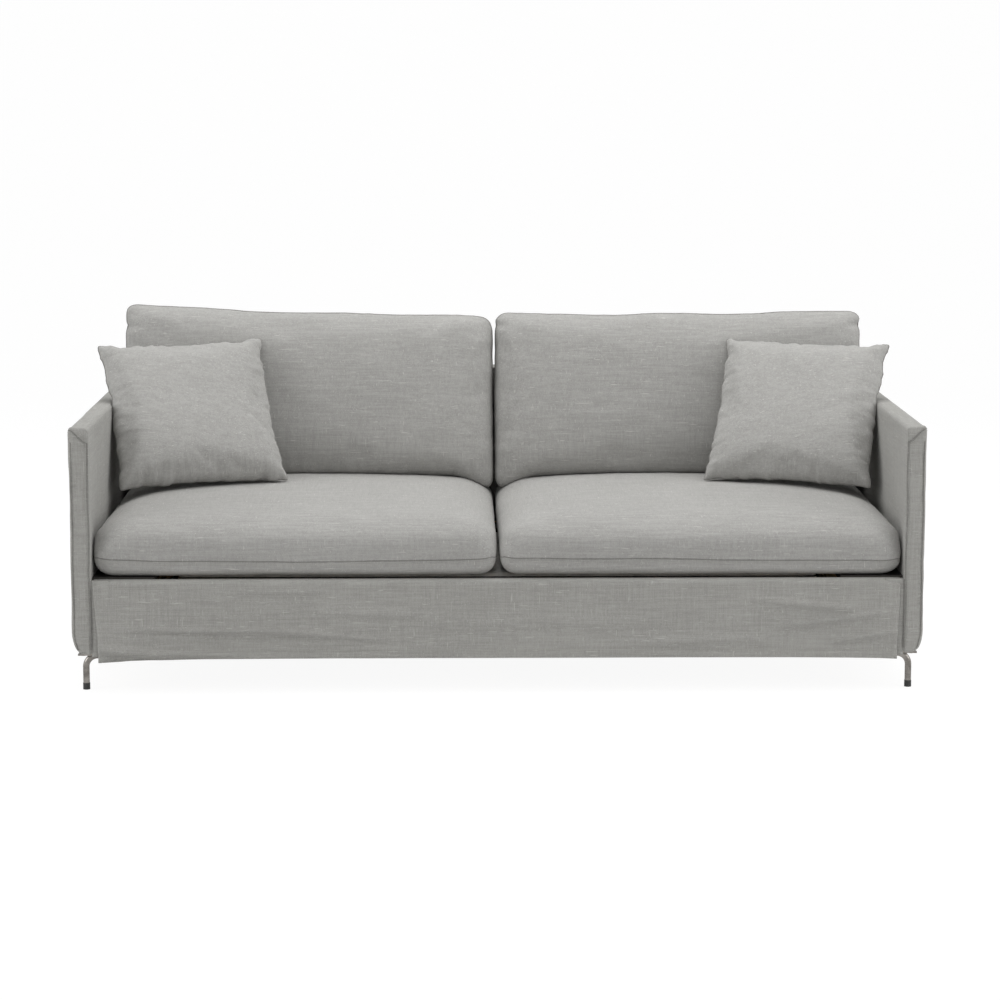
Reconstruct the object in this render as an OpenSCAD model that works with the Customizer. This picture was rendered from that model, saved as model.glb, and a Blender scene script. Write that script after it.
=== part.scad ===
// Three-seat sofa bed: thin slip-covered arms, loose cushions, and a bed that folds three times under the seat.
// Millimetres. +Z is up, the front faces -Y, and the origin is on the floor at the centre of the plan.

/* [Overall] */
// Width over both arms
overall_w = 2050; // [1700:10:2400]
// Depth from the front of the arms to the outside back
sofa_d = 940; // [900:5:1040]
// Height of the arms above the floor
arm_h = 644; // [560:4:720]
// Thickness of an arm over its cover
arm_t = 48; // [40:1:90]
// Height of the back frame above the floor
back_h = 700; // [620:5:760]
// Thickness of the back over its cover
back_t = 60; // [50:1:80]
// Height of the underside of the arms and rails above the floor
base_z = 95; // [92:1:100]

/* [Slipcover] */
// Thickness of the cover cloth with its lining
cover_t = 3; // [2:0.5:5]
// Height of the hem of the front skirt above the floor
hem_z = 86; // [70:1:90]
// Width of the overlapping seam along the top of an arm
flange_w = 5; // [3:0.5:8]

/* [Cushions] */
// Height of a seat cushion at its side seam
seat_side_h = 128; // [110:1:150]
// Rise of the crown of a seat cushion above its seam
seat_crown = 38; // [10:1:60]
// Height of a back cushion along its own face
back_cushion_h = 440; // [380:5:480]
// Thickness of a back cushion at its edge
back_cushion_t = 100; // [80:1:140]
// Rise of the crown of a back cushion on each face
back_crown = 34; // [10:1:50]
// Lean of the back cushions
back_lean = 13; // [8:0.5:18]
// Side length of a throw pillow
pillow_w = 455; // [400:5:480]
// Thickness of a throw pillow at its middle
pillow_t = 125; // [90:1:160]

/* [Bed] */
// Depth kept free behind the folded bed
rear_room = 206; // [196:1:240]
// Width of the deck on each side of the bed
side_room = 197; // [170:1:260]
// Thickness of each mattress section
mattress_t = 46; // [40:1:50]
// Width of the frame tube
tube_w = 20; // [18:1:25]
// Height of the frame tube
tube_h = 15; // [14:0.5:16]
// Wall of the frame tube
tube_wall = 1.5; // [1:0.1:2]
// Height by which the lift arms raise the bed
lift_h = 210; // [200:1:215]
// Diameter of the fold-down bed legs
bed_leg_d = 12; // [10:0.5:12]

/* [Feet] */
// Diameter of the bent steel feet
foot_d = 16; // [14:0.5:20]
// Bend radius of a foot along its middle
foot_bend_r = 28; // [24:1:34]

/* [Hidden] */

// Shared measures
eps = 0.5;              // overrun of every cut
soft_gap = 1;           // gap round a soft piece
slide_gap = 1.5;        // gap between flat pieces that turn past each other
half_w = overall_w / 2;
half_d = sofa_d / 2;
hinge_inset = 94;       // distance of the front fold hinge from the front of the arms
fold_l = sofa_d - hinge_inset - rear_room;
mattress_w = overall_w - 2 * arm_t - 2 * side_room;

// Timber
board_t = 22;           // thickness of the base boards
deck_t = 15;            // thickness of the deck boards
cover_gap = 0.5;        // gap between a cover and the frame in it
arm_frame_t = arm_t - 2 * cover_t - 2 * cover_gap;
arm_inner_x = half_w - arm_t;
arm_frame_x = arm_inner_x + cover_t + cover_gap;
arm_bottom_r = 26;      // rounding of the arm's lower outer edge
arm_top_r = 9;          // rounding of the arm's upper edges
window_w = 170;         // opening in the plywood of an arm
window_bar = 52;        // wood left round each opening

// Heights of the folded bed, from the bottom up
layer_gap = 0.3;        // gap between a frame and the mattress on it
fold_gap = 0.7;         // half the gap between two mattress faces
bed_z = 92;             // underside of the folded bed
frame_gap = 1;          // half the gap between two frames
head_top_z = bed_z + tube_h;
hinge1_z = head_top_z + layer_gap + mattress_t + fold_gap;
middle_z = hinge1_z + fold_gap + mattress_t + layer_gap;
hinge2_z = middle_z + tube_h + frame_gap;
foot_z = hinge2_z + frame_gap;
deck_z = foot_z + tube_h + 2 * layer_gap + mattress_t;

// Places of the folded bed along the depth
hinge1_y = -half_d + hinge_inset;
hinge2_y = hinge1_y + fold_l;
head_trim = 5;          // shortfall of the head frame's rear end
head_end_y = hinge1_y + fold_l - head_trim;
end_gap = 15;           // distance from a hinge to the end of a frame tube
mattress_end_gap = 2;   // distance from a hinge to the end of a mattress section
nose_l = 8;             // reach of the foot section beyond hinge1 when folded

// Places across the width, from the mattress outwards
tube_x = mattress_w / 2 + 7;
plate_t = 5;            // thickness of hinge and lift plates
inner_plate_x = tube_x + 3;
outer_plate_x = inner_plate_x + plate_t + slide_gap;
crank_x = tube_x + tube_w;
crank_t = 4;            // thickness of the crank plates and fold links
link_x = crank_x + crank_t + 1;
lift_x = link_x + crank_t + slide_gap;
lift_plate_x = lift_x + plate_t + 5;
bearer_x = lift_plate_x + crank_t;
pin_r = 5;              // radius of the hinge pins
stud_r = 6;             // radius of the lift studs
run_gap = 0.05;         // running clearance of a pin in its hole
eye_r = 10;             // radius of a hinge eye
pin_head_t = 2;         // thickness of a pin's head
pin_head_r = 8;

// Lift arms
lift_angle = 20;        // angle of the lift arms below level when folded
lift_swing = 64.8;      // angle they turn through
lift_l = lift_h / (sin(lift_swing - lift_angle) + sin(lift_angle));
lift_reach = lift_l * cos(lift_angle);
lift_low_z = bed_z + tube_h / 2;
lift_pivot_z = lift_low_z + lift_l * sin(lift_angle);
lift_set = 108;         // distance from the front hinge to the lifted studs
front_lift_y = hinge1_y + lift_set;
rear_lift_y = front_lift_y + fold_l / 2;
lift_eye_r = 14;

// Fold link pivots, measured from each fold hinge
link_dy = 28;
link_dz = -22;

// Welded mesh of the bed frames
wire_t = 2.4;           // thickness of the mesh wires
mesh_nx = 16;           // gaps across the bed
mesh_ny = 6;            // gaps along a section

// Bed legs
bed_leg_r = bed_leg_d / 2;
leg_x = tube_x - bed_leg_r - 3;
leg_pivot_dy = 40;      // distance from the end of a frame to its leg pivot
leg_pin_r = 4;
leg_glide_l = 22;
leg_glide_t = 0.4;      // wall of a glide outside its tube
middle_leg_z = middle_z + wire_t + 0.4 + bed_leg_r;
end_leg_z = foot_z + tube_h - wire_t - 0.4 - bed_leg_r;
floor_gap = 1.4;        // height of the open bed legs above the floor
leg_l = 2 * hinge1_z - middle_leg_z + lift_h - floor_gap;

// Front skirt
skirt_fold = 3;         // depth of the skirt's folds
skirt_lift = 9;         // rise of the hem between its low ends
front_rail_top = 273;
skirt_steps = 48;

// Feet of the sofa
foot_plate_w = 90;
foot_plate_t = 4;
foot_in = 26;           // distance from the outside of the arm to the axis of a foot
foot_out = 48;          // reach from the plate's socket to the foot
foot_inset_y = 55;
glide_l = 8;
glide_r = foot_d / 2 + 0.6;
foot_screw_r = 3;

// Back
back_frame_t = back_t - 2 * cover_t - 2 * cover_gap;
back_front_y = half_d - back_t;
back_frame_y = back_front_y + cover_t + cover_gap;
rail_h = 60;
post_w = 55;
post_count = 5;
strap_w = 50;
strap_t = 2;
strap_count = 4;

// Cushions
ring_n = 28;            // points round each ring of a cushion
seat_front_y = -half_d + 7;
seat_back_y = back_front_y - 6;
seat_edge_r = 52;
seat_gap = 1.5;         // half the gap between two cushions
back_edge_r = 42;
back_sink = 2;          // gap between a back cushion and the seat under it

function ramp(n) = [for (i = [1:n]) i / n];
function squircle(a, b, power, draw) = [
    for (i = [0:ring_n - 1])
        let (
            t = 360 * (i + 0.5) / ring_n,
            x = sign(cos(t)) * pow(abs(cos(t)), 2 / power),
            y = sign(sin(t)) * pow(abs(sin(t)), 2 / power)
        )
        [a * x * (1 - draw * (1 - y * y) * abs(x)), b * y * (1 - draw * (1 - x * x) * abs(y))]
];
function at_height(ring, z) = [for (p = ring) [p[0], p[1], z]];
function flat(rings) = [for (r = rings) for (p = r) p];
function ring_faces(count) = concat(
    [for (i = [0:ring_n - 1]) [0, 1 + i, 1 + (i + 1) % ring_n]],
    [for (k = [0:count - 2]) for (i = [0:ring_n - 1])
        let (a = 1 + k * ring_n + i, b = 1 + k * ring_n + (i + 1) % ring_n)
        [a, a + ring_n, b]],
    [for (k = [0:count - 2]) for (i = [0:ring_n - 1])
        let (a = 1 + k * ring_n + i, b = 1 + k * ring_n + (i + 1) % ring_n)
        [b, a + ring_n, b + ring_n]],
    [for (i = [0:ring_n - 1])
        let (last = 1 + (count - 1) * ring_n)
        [last + ring_n, last + (i + 1) % ring_n, last + i]]
);

// A closed cushion built of rings: a flat or crowned underside, rounded edges and a crowned top
module cushion(size_x, size_y, side_h, edge_r, top_crown, low_crown, draw, power) {
    a = size_x / 2;
    b = size_y / 2;
    low_r = min(edge_r, side_h - edge_r);
    rings = concat(
        [for (s = [0.45, 0.8]) at_height(
            squircle((a - low_r) * s, (b - low_r) * s, power * (0.35 + 0.6 * s), 0),
            low_crown * (pow(s, 2) - 1))],
        [for (t = [0:30:90]) at_height(
            squircle(a - low_r * (1 - sin(t)), b - low_r * (1 - sin(t)), power, draw),
            low_r * (1 - cos(t)))],
        [for (t = [0:22.5:90]) at_height(
            squircle(a - edge_r * (1 - cos(t)), b - edge_r * (1 - cos(t)), power, draw),
            side_h - edge_r + edge_r * sin(t) + (t == 0 ? 0.01 * edge_r : 0))],
        [for (s = [0.84, 0.62, 0.34]) at_height(
            squircle((a - edge_r) * s, (b - edge_r) * s, power * (0.35 + 0.6 * s), 0),
            side_h + top_crown * (1 - pow(s, 2)))]
    );
    points = concat([[0, 0, -low_crown]], flat(rings), [[0, 0, side_h + top_crown]]);
    polyhedron(points, ring_faces(len(rings)));
}

// A knife-edged pillow with pinched corners
module pillow(side, thick) {
    a = side / 2;
    steps = [0.3, 0.55, 0.75, 0.89, 0.97];
    half = [for (s = steps) [s, thick / 2 * pow(1 - pow(s, 2.6), 0.62)]];
    rings = concat(
        [for (h = half) at_height(squircle(a * h[0], a * h[0], 2.2 + 5 * h[0], 0.07 * h[0]), -h[1])],
        [at_height(squircle(a, a, 9, 0.09), 0)],
        [for (i = [len(half) - 1:-1:0])
            at_height(squircle(a * half[i][0], a * half[i][0], 2.2 + 5 * half[i][0], 0.07 * half[i][0]),
                half[i][1])]
    );
    points = concat([[0, 0, -thick / 2]], flat(rings), [[0, 0, thick / 2]]);
    polyhedron(points, ring_faces(len(rings)));
}

function arc(cx, cy, r, from, to, n) = [
    for (i = [0:n]) let (t = from + (to - from) * i / n) [cx + r * cos(t), cy + r * sin(t)]
];

// Runs its child on both sides of the sofa
module both_sides() {
    children();
    mirror([1, 0, 0]) children();
}
// Places a right-hand piece at side 1 and its mirror image at side -1
module on_side(side) {
    if (side > 0) children();
    else mirror([1, 0, 0]) children();
}
// A pin or hole along X
module along_x(x, y, z, r, l) {
    translate([x, y, z]) rotate([0, 90, 0]) cylinder(r = r, h = l, $fn = 48);
}
// A plate in the YZ plane whose outline is drawn as [y, z]
module side_plate(x, t) {
    translate([x, 0, 0]) rotate([90, 0, 90]) linear_extrude(t) children();
}
// A rectangular steel tube, open at both ends, along Y
module tube_y(x, y0, y1, z) {
    translate([x, y0, z]) difference() {
        cube([tube_w, y1 - y0, tube_h]);
        translate([tube_wall, -eps, tube_wall])
            cube([tube_w - 2 * tube_wall, y1 - y0 + 2 * eps, tube_h - 2 * tube_wall]);
    }
}
// The same tube along X, between the side tubes
module tube_across(y, z) {
    translate([-tube_x, y, z]) difference() {
        cube([2 * tube_x, tube_w, tube_h]);
        translate([-eps, tube_wall, tube_wall])
            cube([2 * tube_x + 2 * eps, tube_w - 2 * tube_wall, tube_h - 2 * tube_wall]);
    }
}

// Arms: a timber ladder panel in a slipcover that ends at the deck on its inner side
module arm_frame(side) {
    on_side(side) color("burlywood") difference() {
        translate([0, half_d - cover_t - cover_gap, 0]) rotate([90, 0, 0])
            linear_extrude(sofa_d - 2 * cover_t - 2 * cover_gap)
                arm_section(-cover_gap, base_z + cover_t + cover_gap, arm_bottom_r);
        for (i = [-1:1])
            translate([arm_frame_x - eps, i * (window_w + window_bar) * 1.2 - window_w / 2, deck_z + window_bar])
                cube([arm_t, window_w, arm_h - deck_z - 2.4 * window_bar]);
    }
}
module arm_section(grow, low, r2) {
    x0 = arm_inner_x + cover_t - grow;
    x1 = half_w - 2 * cover_t + grow;
    r1 = arm_top_r;
    z1 = arm_h - cover_t + grow;
    polygon(concat(
        [[x0, low]],
        arc(x1 - r2, low + r2, r2, -90, 0, 6),
        arc(x1 - r1, z1 - r1, r1, 0, 90, 6),
        arc(x0 + r1, z1 - r1, r1, 90, 180, 6)
    ));
}
module arm_cover(side) {
    on_side(side) color("gray") difference() {
        union() {
            translate([0, half_d, 0]) rotate([90, 0, 0]) linear_extrude(sofa_d)
                arm_section(cover_t, base_z, arm_bottom_r + cover_t);
            translate([half_w - cover_t - eps, -half_d, arm_h - 5 * flange_w])
                cube([cover_t + eps, sofa_d, flange_w]);
        }
        translate([0, half_d - cover_t, 0]) rotate([90, 0, 0])
            linear_extrude(sofa_d - 2 * cover_t) arm_section(0, base_z + cover_t, arm_bottom_r);
        translate([arm_inner_x - eps, -half_d + cover_t, base_z - eps])
            cube([2 * cover_t, sofa_d, deck_z + soft_gap - base_z + eps]);
    }
}
module arm_frame_left() { arm_frame(-1); }
module arm_frame_right() { arm_frame(1); }
module arm_cover_left() { arm_cover(-1); }
module arm_cover_right() { arm_cover(1); }

// Base box
rail_y = -half_d + cover_t + cover_gap;
rear_rail_y = half_d - cover_t - cover_gap - board_t;
deck_low_z = deck_z - layer_gap - deck_t;
rear_deck_gap = 57;
rear_deck_y = head_end_y + rear_deck_gap;
module front_rail() {
    color("burlywood") translate([-arm_frame_x, rail_y, base_z])
        cube([2 * arm_frame_x, board_t - 2, front_rail_top - base_z]);
}
module rear_rail() {
    color("burlywood") translate([-arm_frame_x, rear_rail_y, base_z])
        cube([2 * arm_frame_x, board_t, deck_low_z - base_z]);
}
module side_rail(side) {
    on_side(side) color("burlywood") translate([arm_frame_x - board_t, rail_y + board_t - 2, base_z])
        cube([board_t, rear_rail_y - rail_y - board_t + 2, deck_low_z - base_z]);
}
module side_rail_left() { side_rail(-1); }
module side_rail_right() { side_rail(1); }
module bearer(side) {
    on_side(side) color("burlywood") translate([bearer_x, rail_y + board_t - 2, base_z])
        cube([board_t, rear_rail_y - rail_y - board_t + 2, deck_low_z - base_z]);
}
module bearer_left() { bearer(-1); }
module bearer_right() { bearer(1); }
module side_deck(side) {
    on_side(side) color("tan") translate([lift_plate_x, rail_y + board_t - 2, deck_low_z])
        cube([arm_frame_x - lift_plate_x, rear_deck_y - rail_y - board_t + 2, deck_t]);
}
module side_deck_left() { side_deck(-1); }
module side_deck_right() { side_deck(1); }
module rear_deck() {
    color("tan") translate([-arm_frame_x, rear_deck_y, deck_low_z])
        cube([2 * arm_frame_x, back_front_y - soft_gap - rear_deck_y, deck_t]);
}

// Back frame
back_top_z = back_h - cover_t - cover_gap;
back_half_w = arm_inner_x - cover_t - cover_gap - soft_gap;
post_low_z = deck_low_z + rail_h;
post_high_z = back_top_z - rail_h;
module back_top_rail() {
    color("burlywood") translate([-back_half_w, back_frame_y, post_high_z])
        cube([2 * back_half_w, back_frame_t, rail_h]);
}
module back_bottom_rail() {
    color("burlywood") translate([-back_half_w, back_frame_y, deck_low_z])
        cube([2 * back_half_w, back_frame_t, rail_h]);
}
module back_posts() {
    color("burlywood") for (i = [0:post_count - 1])
        translate([-back_half_w + i * (2 * back_half_w - post_w) / (post_count - 1), back_frame_y, post_low_z])
            cube([post_w, back_frame_t, post_high_z - post_low_z]);
}
module back_webbing() {
    color("dimgray") for (i = [0:post_count - 2]) for (j = [0:strap_count - 1])
        translate([
            -back_half_w + post_w + (i + (j + 0.5) / strap_count) * (2 * back_half_w - post_w) / (post_count - 1)
                - (j + 0.5) * post_w / strap_count - strap_w / 2,
            back_frame_y + 2 * strap_t,
            post_low_z
        ]) cube([strap_w, strap_t, post_high_z - post_low_z]);
}
module back_cover() {
    color("gray") difference() {
        translate([-arm_inner_x + soft_gap, back_front_y, deck_z + soft_gap])
            cube([2 * arm_inner_x - 2 * soft_gap, back_t, back_h - deck_z - soft_gap]);
        translate([-back_half_w - cover_gap, back_front_y + cover_t, deck_z])
            cube([2 * back_half_w + 2 * cover_gap, back_t - 2 * cover_t, back_h - cover_t - deck_z]);
    }
}

// Front skirt: a cloth panel over the front rail with soft level folds and a sagging hem
function skirt_y(z) = -half_d + skirt_fold * 0.5 * (sin(z * 4.1) * 0.6 + sin(z * 2.3 + 40) * 0.8);
module front_skirt() {
    low = hem_z - skirt_lift;
    top = front_rail_top + cover_gap;
    zs = [for (i = [0:skirt_steps]) low + (top - low) * i / skirt_steps];
    w = arm_inner_x - 2 * soft_gap;
    color("gray") intersection() {
        translate([-w, 0, 0]) rotate([90, 0, 90]) linear_extrude(2 * w) union() {
            polygon(concat(
                [for (z = zs) [skirt_y(z) - skirt_fold, z]],
                [for (i = [skirt_steps:-1:0]) [min(skirt_y(zs[i]) + cover_t - skirt_fold, rail_y - cover_gap), zs[i]]]
            ));
            translate([skirt_y(top) - skirt_fold, top])
                square([board_t + skirt_fold, cover_t]);
        }
        translate([0, -half_d + board_t + 2 * cover_t + eps, 0]) rotate([90, 0, 0])
            linear_extrude(board_t + 4 * cover_t + skirt_fold + eps) polygon(concat(
                [[w, top + 2 * cover_t], [-w, top + 2 * cover_t]],
                [for (i = [0:skirt_steps]) let (s = 2 * i / skirt_steps - 1)
                    [s * w, low + skirt_lift * (1 - pow(s, 6) * (s < 0 ? 1 : 0.5))]]
            ));
    }
}

// Rear skirt: the plain cloth that hangs over the rear rail
module rear_skirt() {
    color("gray") translate([-arm_inner_x + soft_gap, half_d - cover_t, hem_z])
        cube([2 * arm_inner_x - 2 * soft_gap, cover_t, deck_z - hem_z]);
}

// Feet: a steel rod welded to a plate, bent outwards and then down
foot_axis_x = half_w - foot_in;
weld = 0.5;
foot_z0 = base_z - foot_plate_t - foot_d / 2 + weld;
module foot(side, y) {
    on_side(side) color("silver") translate([foot_axis_x, y, 0]) {
        translate([0, 0, glide_l]) cylinder(d = foot_d, h = foot_z0 - foot_bend_r - glide_l, $fn = 48);
        translate([-foot_bend_r, 0, foot_z0 - foot_bend_r]) rotate([90, 0, 0])
            rotate_extrude(angle = 90, $fn = 96) translate([foot_bend_r, 0]) circle(d = foot_d, $fn = 48);
        translate([-foot_bend_r - foot_out, 0, foot_z0]) rotate([0, 90, 0])
            cylinder(d = foot_d, h = foot_out, $fn = 48);
        difference() {
            translate([-foot_bend_r - foot_out, -foot_plate_w / 2, base_z - foot_plate_t])
                cube([foot_plate_w, foot_plate_w, foot_plate_t]);
            foot_screw_places() translate([0, 0, -foot_plate_t])
                cylinder(r = foot_screw_r + run_gap, h = 4 * foot_plate_t, $fn = 24);
        }
    }
}
module foot_screw_places() {
    for (i = [0, 1]) for (j = [-1, 1])
        translate([
            -foot_bend_r - foot_out + (i == 0 ? 0.15 : 0.85) * foot_plate_w,
            j * 0.35 * foot_plate_w,
            base_z - foot_plate_t
        ]) children();
}
front_foot_y = -half_d + foot_inset_y;
rear_foot_y = half_d - foot_inset_y;
module foot_front_left() { foot(-1, front_foot_y); }
module foot_front_right() { foot(1, front_foot_y); }
module foot_rear_left() { foot(-1, rear_foot_y); }
module foot_rear_right() { foot(1, rear_foot_y); }
module foot_glides() {
    color("black") both_sides() for (y = [front_foot_y, rear_foot_y])
        translate([foot_axis_x, y, 0]) difference() {
            cylinder(r = glide_r, h = 2 * glide_l, $fn = 48);
            translate([0, 0, glide_l]) cylinder(d = foot_d + 2 * run_gap, h = 2 * glide_l, $fn = 48);
        }
}
module foot_screws() {
    color("silver") both_sides() for (y = [front_foot_y, rear_foot_y])
        translate([foot_axis_x, y, 0]) foot_screw_places() {
            translate([0, 0, -foot_plate_t / 2]) cylinder(r = 2 * foot_screw_r, h = foot_plate_t / 2, $fn = 24);
            cylinder(r = foot_screw_r, h = foot_plate_t, $fn = 24);
        }
}

// Lift linkage: plates on the bearers, and two arms a side that carry the bed up and over the front rail
front_pivot_y = front_lift_y + lift_reach;
rear_pivot_y = rear_lift_y + lift_reach;
module lift_plate(side) {
    on_side(side) color("dimgray") side_plate(lift_plate_x, crank_t) difference() {
        translate([front_pivot_y - 3 * lift_eye_r, lift_pivot_z - 2 * lift_eye_r])
            square([rear_pivot_y - front_pivot_y + 6 * lift_eye_r, 4 * lift_eye_r]);
        for (y = [front_pivot_y, rear_pivot_y]) translate([y, lift_pivot_z]) circle(r = stud_r, $fn = 48);
        for (y = plate_bolt_ys) translate([y, lift_pivot_z]) circle(r = foot_screw_r, $fn = 24);
    }
}
plate_bolt_ys = [for (i = [0:3]) front_pivot_y - 2 * lift_eye_r
    + i * (rear_pivot_y - front_pivot_y + 4 * lift_eye_r) / 3];
module lift_plate_left() { lift_plate(-1); }
module lift_plate_right() { lift_plate(1); }
module lift_studs() {
    color("silver") both_sides() for (y = [front_pivot_y, rear_pivot_y]) {
        along_x(lift_x, y, lift_pivot_z, stud_r, lift_plate_x + crank_t - lift_x);
        along_x(lift_x + plate_t + slide_gap, y, lift_pivot_z, pin_head_r,
            lift_plate_x - lift_x - plate_t - slide_gap);
    }
}
module plate_bolts() {
    color("silver") both_sides() for (y = plate_bolt_ys) {
        along_x(lift_plate_x - pin_head_t, y, lift_pivot_z, 2 * foot_screw_r, pin_head_t);
        along_x(lift_plate_x - pin_head_t / 2, y, lift_pivot_z, foot_screw_r, crank_t + pin_head_t / 2);
    }
}
module lift_arm(tip_y) {
    side_plate(lift_x, plate_t) difference() {
        union() {
            translate([tip_y, lift_low_z]) circle(r = lift_eye_r, $fn = 48);
            translate([tip_y + lift_reach, lift_pivot_z]) circle(r = lift_eye_r, $fn = 48);
            translate([tip_y, lift_low_z]) rotate(lift_angle)
                translate([0, -lift_eye_r * 0.75]) square([lift_l, lift_eye_r * 1.5]);
        }
        translate([tip_y, lift_low_z]) circle(r = stud_r + run_gap, $fn = 48);
        translate([tip_y + lift_reach, lift_pivot_z]) circle(r = stud_r + run_gap, $fn = 48);
    }
}
module front_lift_arms() { color("dimgray") both_sides() lift_arm(front_lift_y); }
module rear_lift_arms() { color("dimgray") both_sides() lift_arm(rear_lift_y); }

// Bed frames: tube round a welded mesh that lies on the mattress side
module bed_frame(y0, y1, z, mesh_z) {
    color("dimgray") {
        both_sides() tube_y(tube_x, y0, y1, z);
        tube_across(y0, z);
        tube_across(y1 - tube_w, z);
        bar = 2 * wire_t;
        dx = (2 * tube_x - bar) / mesh_nx;
        dy = (y1 - y0 - 2 * tube_w - bar) / mesh_ny;
        translate([-tube_x, y0 + tube_w, mesh_z]) linear_extrude(wire_t) difference() {
            square([2 * tube_x, y1 - y0 - 2 * tube_w]);
            for (i = [0:mesh_nx - 1]) for (j = [0:mesh_ny - 1])
                translate([bar + i * dx, bar + j * dy]) square([dx - bar, dy - bar]);
        }
    }
}
module mattress(y0, y1, z) {
    color("whitesmoke") translate([-mattress_w / 2, y0, z]) cube([mattress_w, y1 - y0, mattress_t]);
}
// Hinge plate standing on a tube, drawn from its hinge with the tube below
stand_z = -(mattress_t + fold_gap + layer_gap);
module stand_plate_shape() {
    polygon([
        [-eye_r, 0], [eye_r, eye_r * 0.2], [4 * eye_r, stand_z],
        [end_gap, stand_z], [-eye_r * 0.7, -eye_r * 0.7]
    ]);
    circle(r = eye_r, $fn = 48);
}
// Tongue that runs out of the end of a tube to a hinge, drawn from its hinge with the tube in front and below
tongue_low = -(frame_gap + tube_h - tube_wall);
tongue_high = -(frame_gap + tube_wall);
module tongue_shape() {
    polygon([
        [-3 * end_gap, tongue_low], [-end_gap, tongue_low], [eye_r * 0.7, -eye_r * 0.7],
        [0, 0], [-end_gap * 0.8, tongue_high], [-3 * end_gap, tongue_high]
    ]);
    circle(r = eye_r, $fn = 48);
}
module at_hinge(x, t, y, z, flip) {
    side_plate(x, t) translate([y, z]) scale([1, flip ? -1 : 1]) children();
}
module hinge_pin(y, z, inner, outer, r) {
    along_x(inner, y, z, r, outer - inner);
}

// Head section, carried by the lift arms
module head_frame() { bed_frame(hinge1_y + end_gap, head_end_y, bed_z, head_top_z - wire_t); }
module head_mattress() {
    mattress(hinge1_y + mattress_end_gap, head_end_y + mattress_end_gap, head_top_z + layer_gap);
}
crank_pin_r = 4;
module crank_shape(reach) {
    polygon([
        [link_dy - crank_pin_r * 2, link_dz], [link_dy + crank_pin_r * 2, link_dz],
        [reach + 2 * tube_w, stand_z - tube_wall], [reach, stand_z - tube_h / 2]
    ]);
    translate([link_dy, link_dz]) circle(r = crank_pin_r * 2, $fn = 48);
}
module head_hinges() {
    color("silver") both_sides() {
        at_hinge(outer_plate_x, plate_t, hinge1_y, hinge1_z, false) stand_plate_shape();
        hinge_pin(hinge1_y, hinge1_z, inner_plate_x - slide_gap, outer_plate_x + plate_t / 2, pin_r);
        at_hinge(crank_x, crank_t, hinge1_y, hinge1_z, false) crank_shape(end_gap);
        hinge_pin(hinge1_y + link_dy, hinge1_z + link_dz, crank_x + crank_t / 2, link_x + crank_t, crank_pin_r);
        for (y = [front_lift_y, rear_lift_y]) {
            along_x(crank_x, y, lift_low_z, stud_r, lift_x + plate_t + slide_gap / 2 - crank_x);
            along_x(lift_x + plate_t + slide_gap / 3, y, lift_low_z, pin_head_r, pin_head_t);
        }
    }
}

// Middle section, folded upside down on the head section
module middle_frame() { bed_frame(hinge1_y + end_gap, hinge2_y - end_gap, middle_z, middle_z); }
module middle_mattress() {
    mattress(hinge1_y + mattress_end_gap, hinge2_y - mattress_end_gap, middle_z - layer_gap - mattress_t);
}
middle_leg_y = hinge2_y - end_gap - leg_pivot_dy;
module middle_hinges() {
    color("silver") both_sides() {
        difference() {
            at_hinge(inner_plate_x, plate_t, hinge1_y, hinge1_z, true) stand_plate_shape();
            along_x(inner_plate_x - eps, hinge1_y, hinge1_z, pin_r + run_gap, plate_t + 2 * eps);
        }
        at_hinge(outer_plate_x, plate_t, hinge2_y, hinge2_z, false) tongue_shape();
        hinge_pin(hinge2_y, hinge2_z, inner_plate_x - slide_gap, outer_plate_x + plate_t / 2, pin_r);
        along_x(leg_x - bed_leg_r, middle_leg_y, middle_leg_z, leg_pin_r, tube_x - leg_x + bed_leg_r);
    }
}

// Foot section, folded level on top
foot_front_y = hinge1_y - nose_l;
module foot_frame() { bed_frame(foot_front_y, hinge2_y - end_gap, foot_z, foot_z + tube_h - wire_t); }
module foot_mattress() {
    mattress(foot_front_y, hinge2_y - mattress_end_gap, foot_z + tube_h + layer_gap);
}
end_leg_y = foot_front_y + leg_pivot_dy;
module foot_hinges() {
    color("silver") both_sides() {
        difference() {
            at_hinge(inner_plate_x, plate_t, hinge2_y, hinge2_z, true) tongue_shape();
            along_x(inner_plate_x - eps, hinge2_y, hinge2_z, pin_r + run_gap, plate_t + 2 * eps);
        }
        side_plate(crank_x, crank_t) translate([hinge2_y, hinge2_z]) foot_crank_shape();
        hinge_pin(hinge2_y + link_dy, hinge2_z + link_dz, crank_x + crank_t / 2, link_x + crank_t, crank_pin_r);
        along_x(leg_x - bed_leg_r, end_leg_y, end_leg_z, leg_pin_r, tube_x - leg_x + bed_leg_r);
    }
}
module foot_crank_shape() {
    polygon([
        [link_dy - crank_pin_r * 2, link_dz], [link_dy + crank_pin_r * 2, link_dz],
        [link_dy, frame_gap + tube_h], [-3 * end_gap, frame_gap + tube_h],
        [-3 * end_gap, frame_gap]
    ]);
    translate([link_dy, link_dz]) circle(r = crank_pin_r * 2, $fn = 48);
}
module pull_strap() {
    color("black") translate([-1.5 * tube_w, foot_front_y - strap_t, foot_z])
        cube([3 * tube_w, strap_t, tube_h]);
    color("black") translate([-1.5 * tube_w, foot_front_y - strap_t - tube_w, foot_z + tube_h / 2])
        cube([3 * tube_w, tube_w + eps, strap_t]);
}
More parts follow.
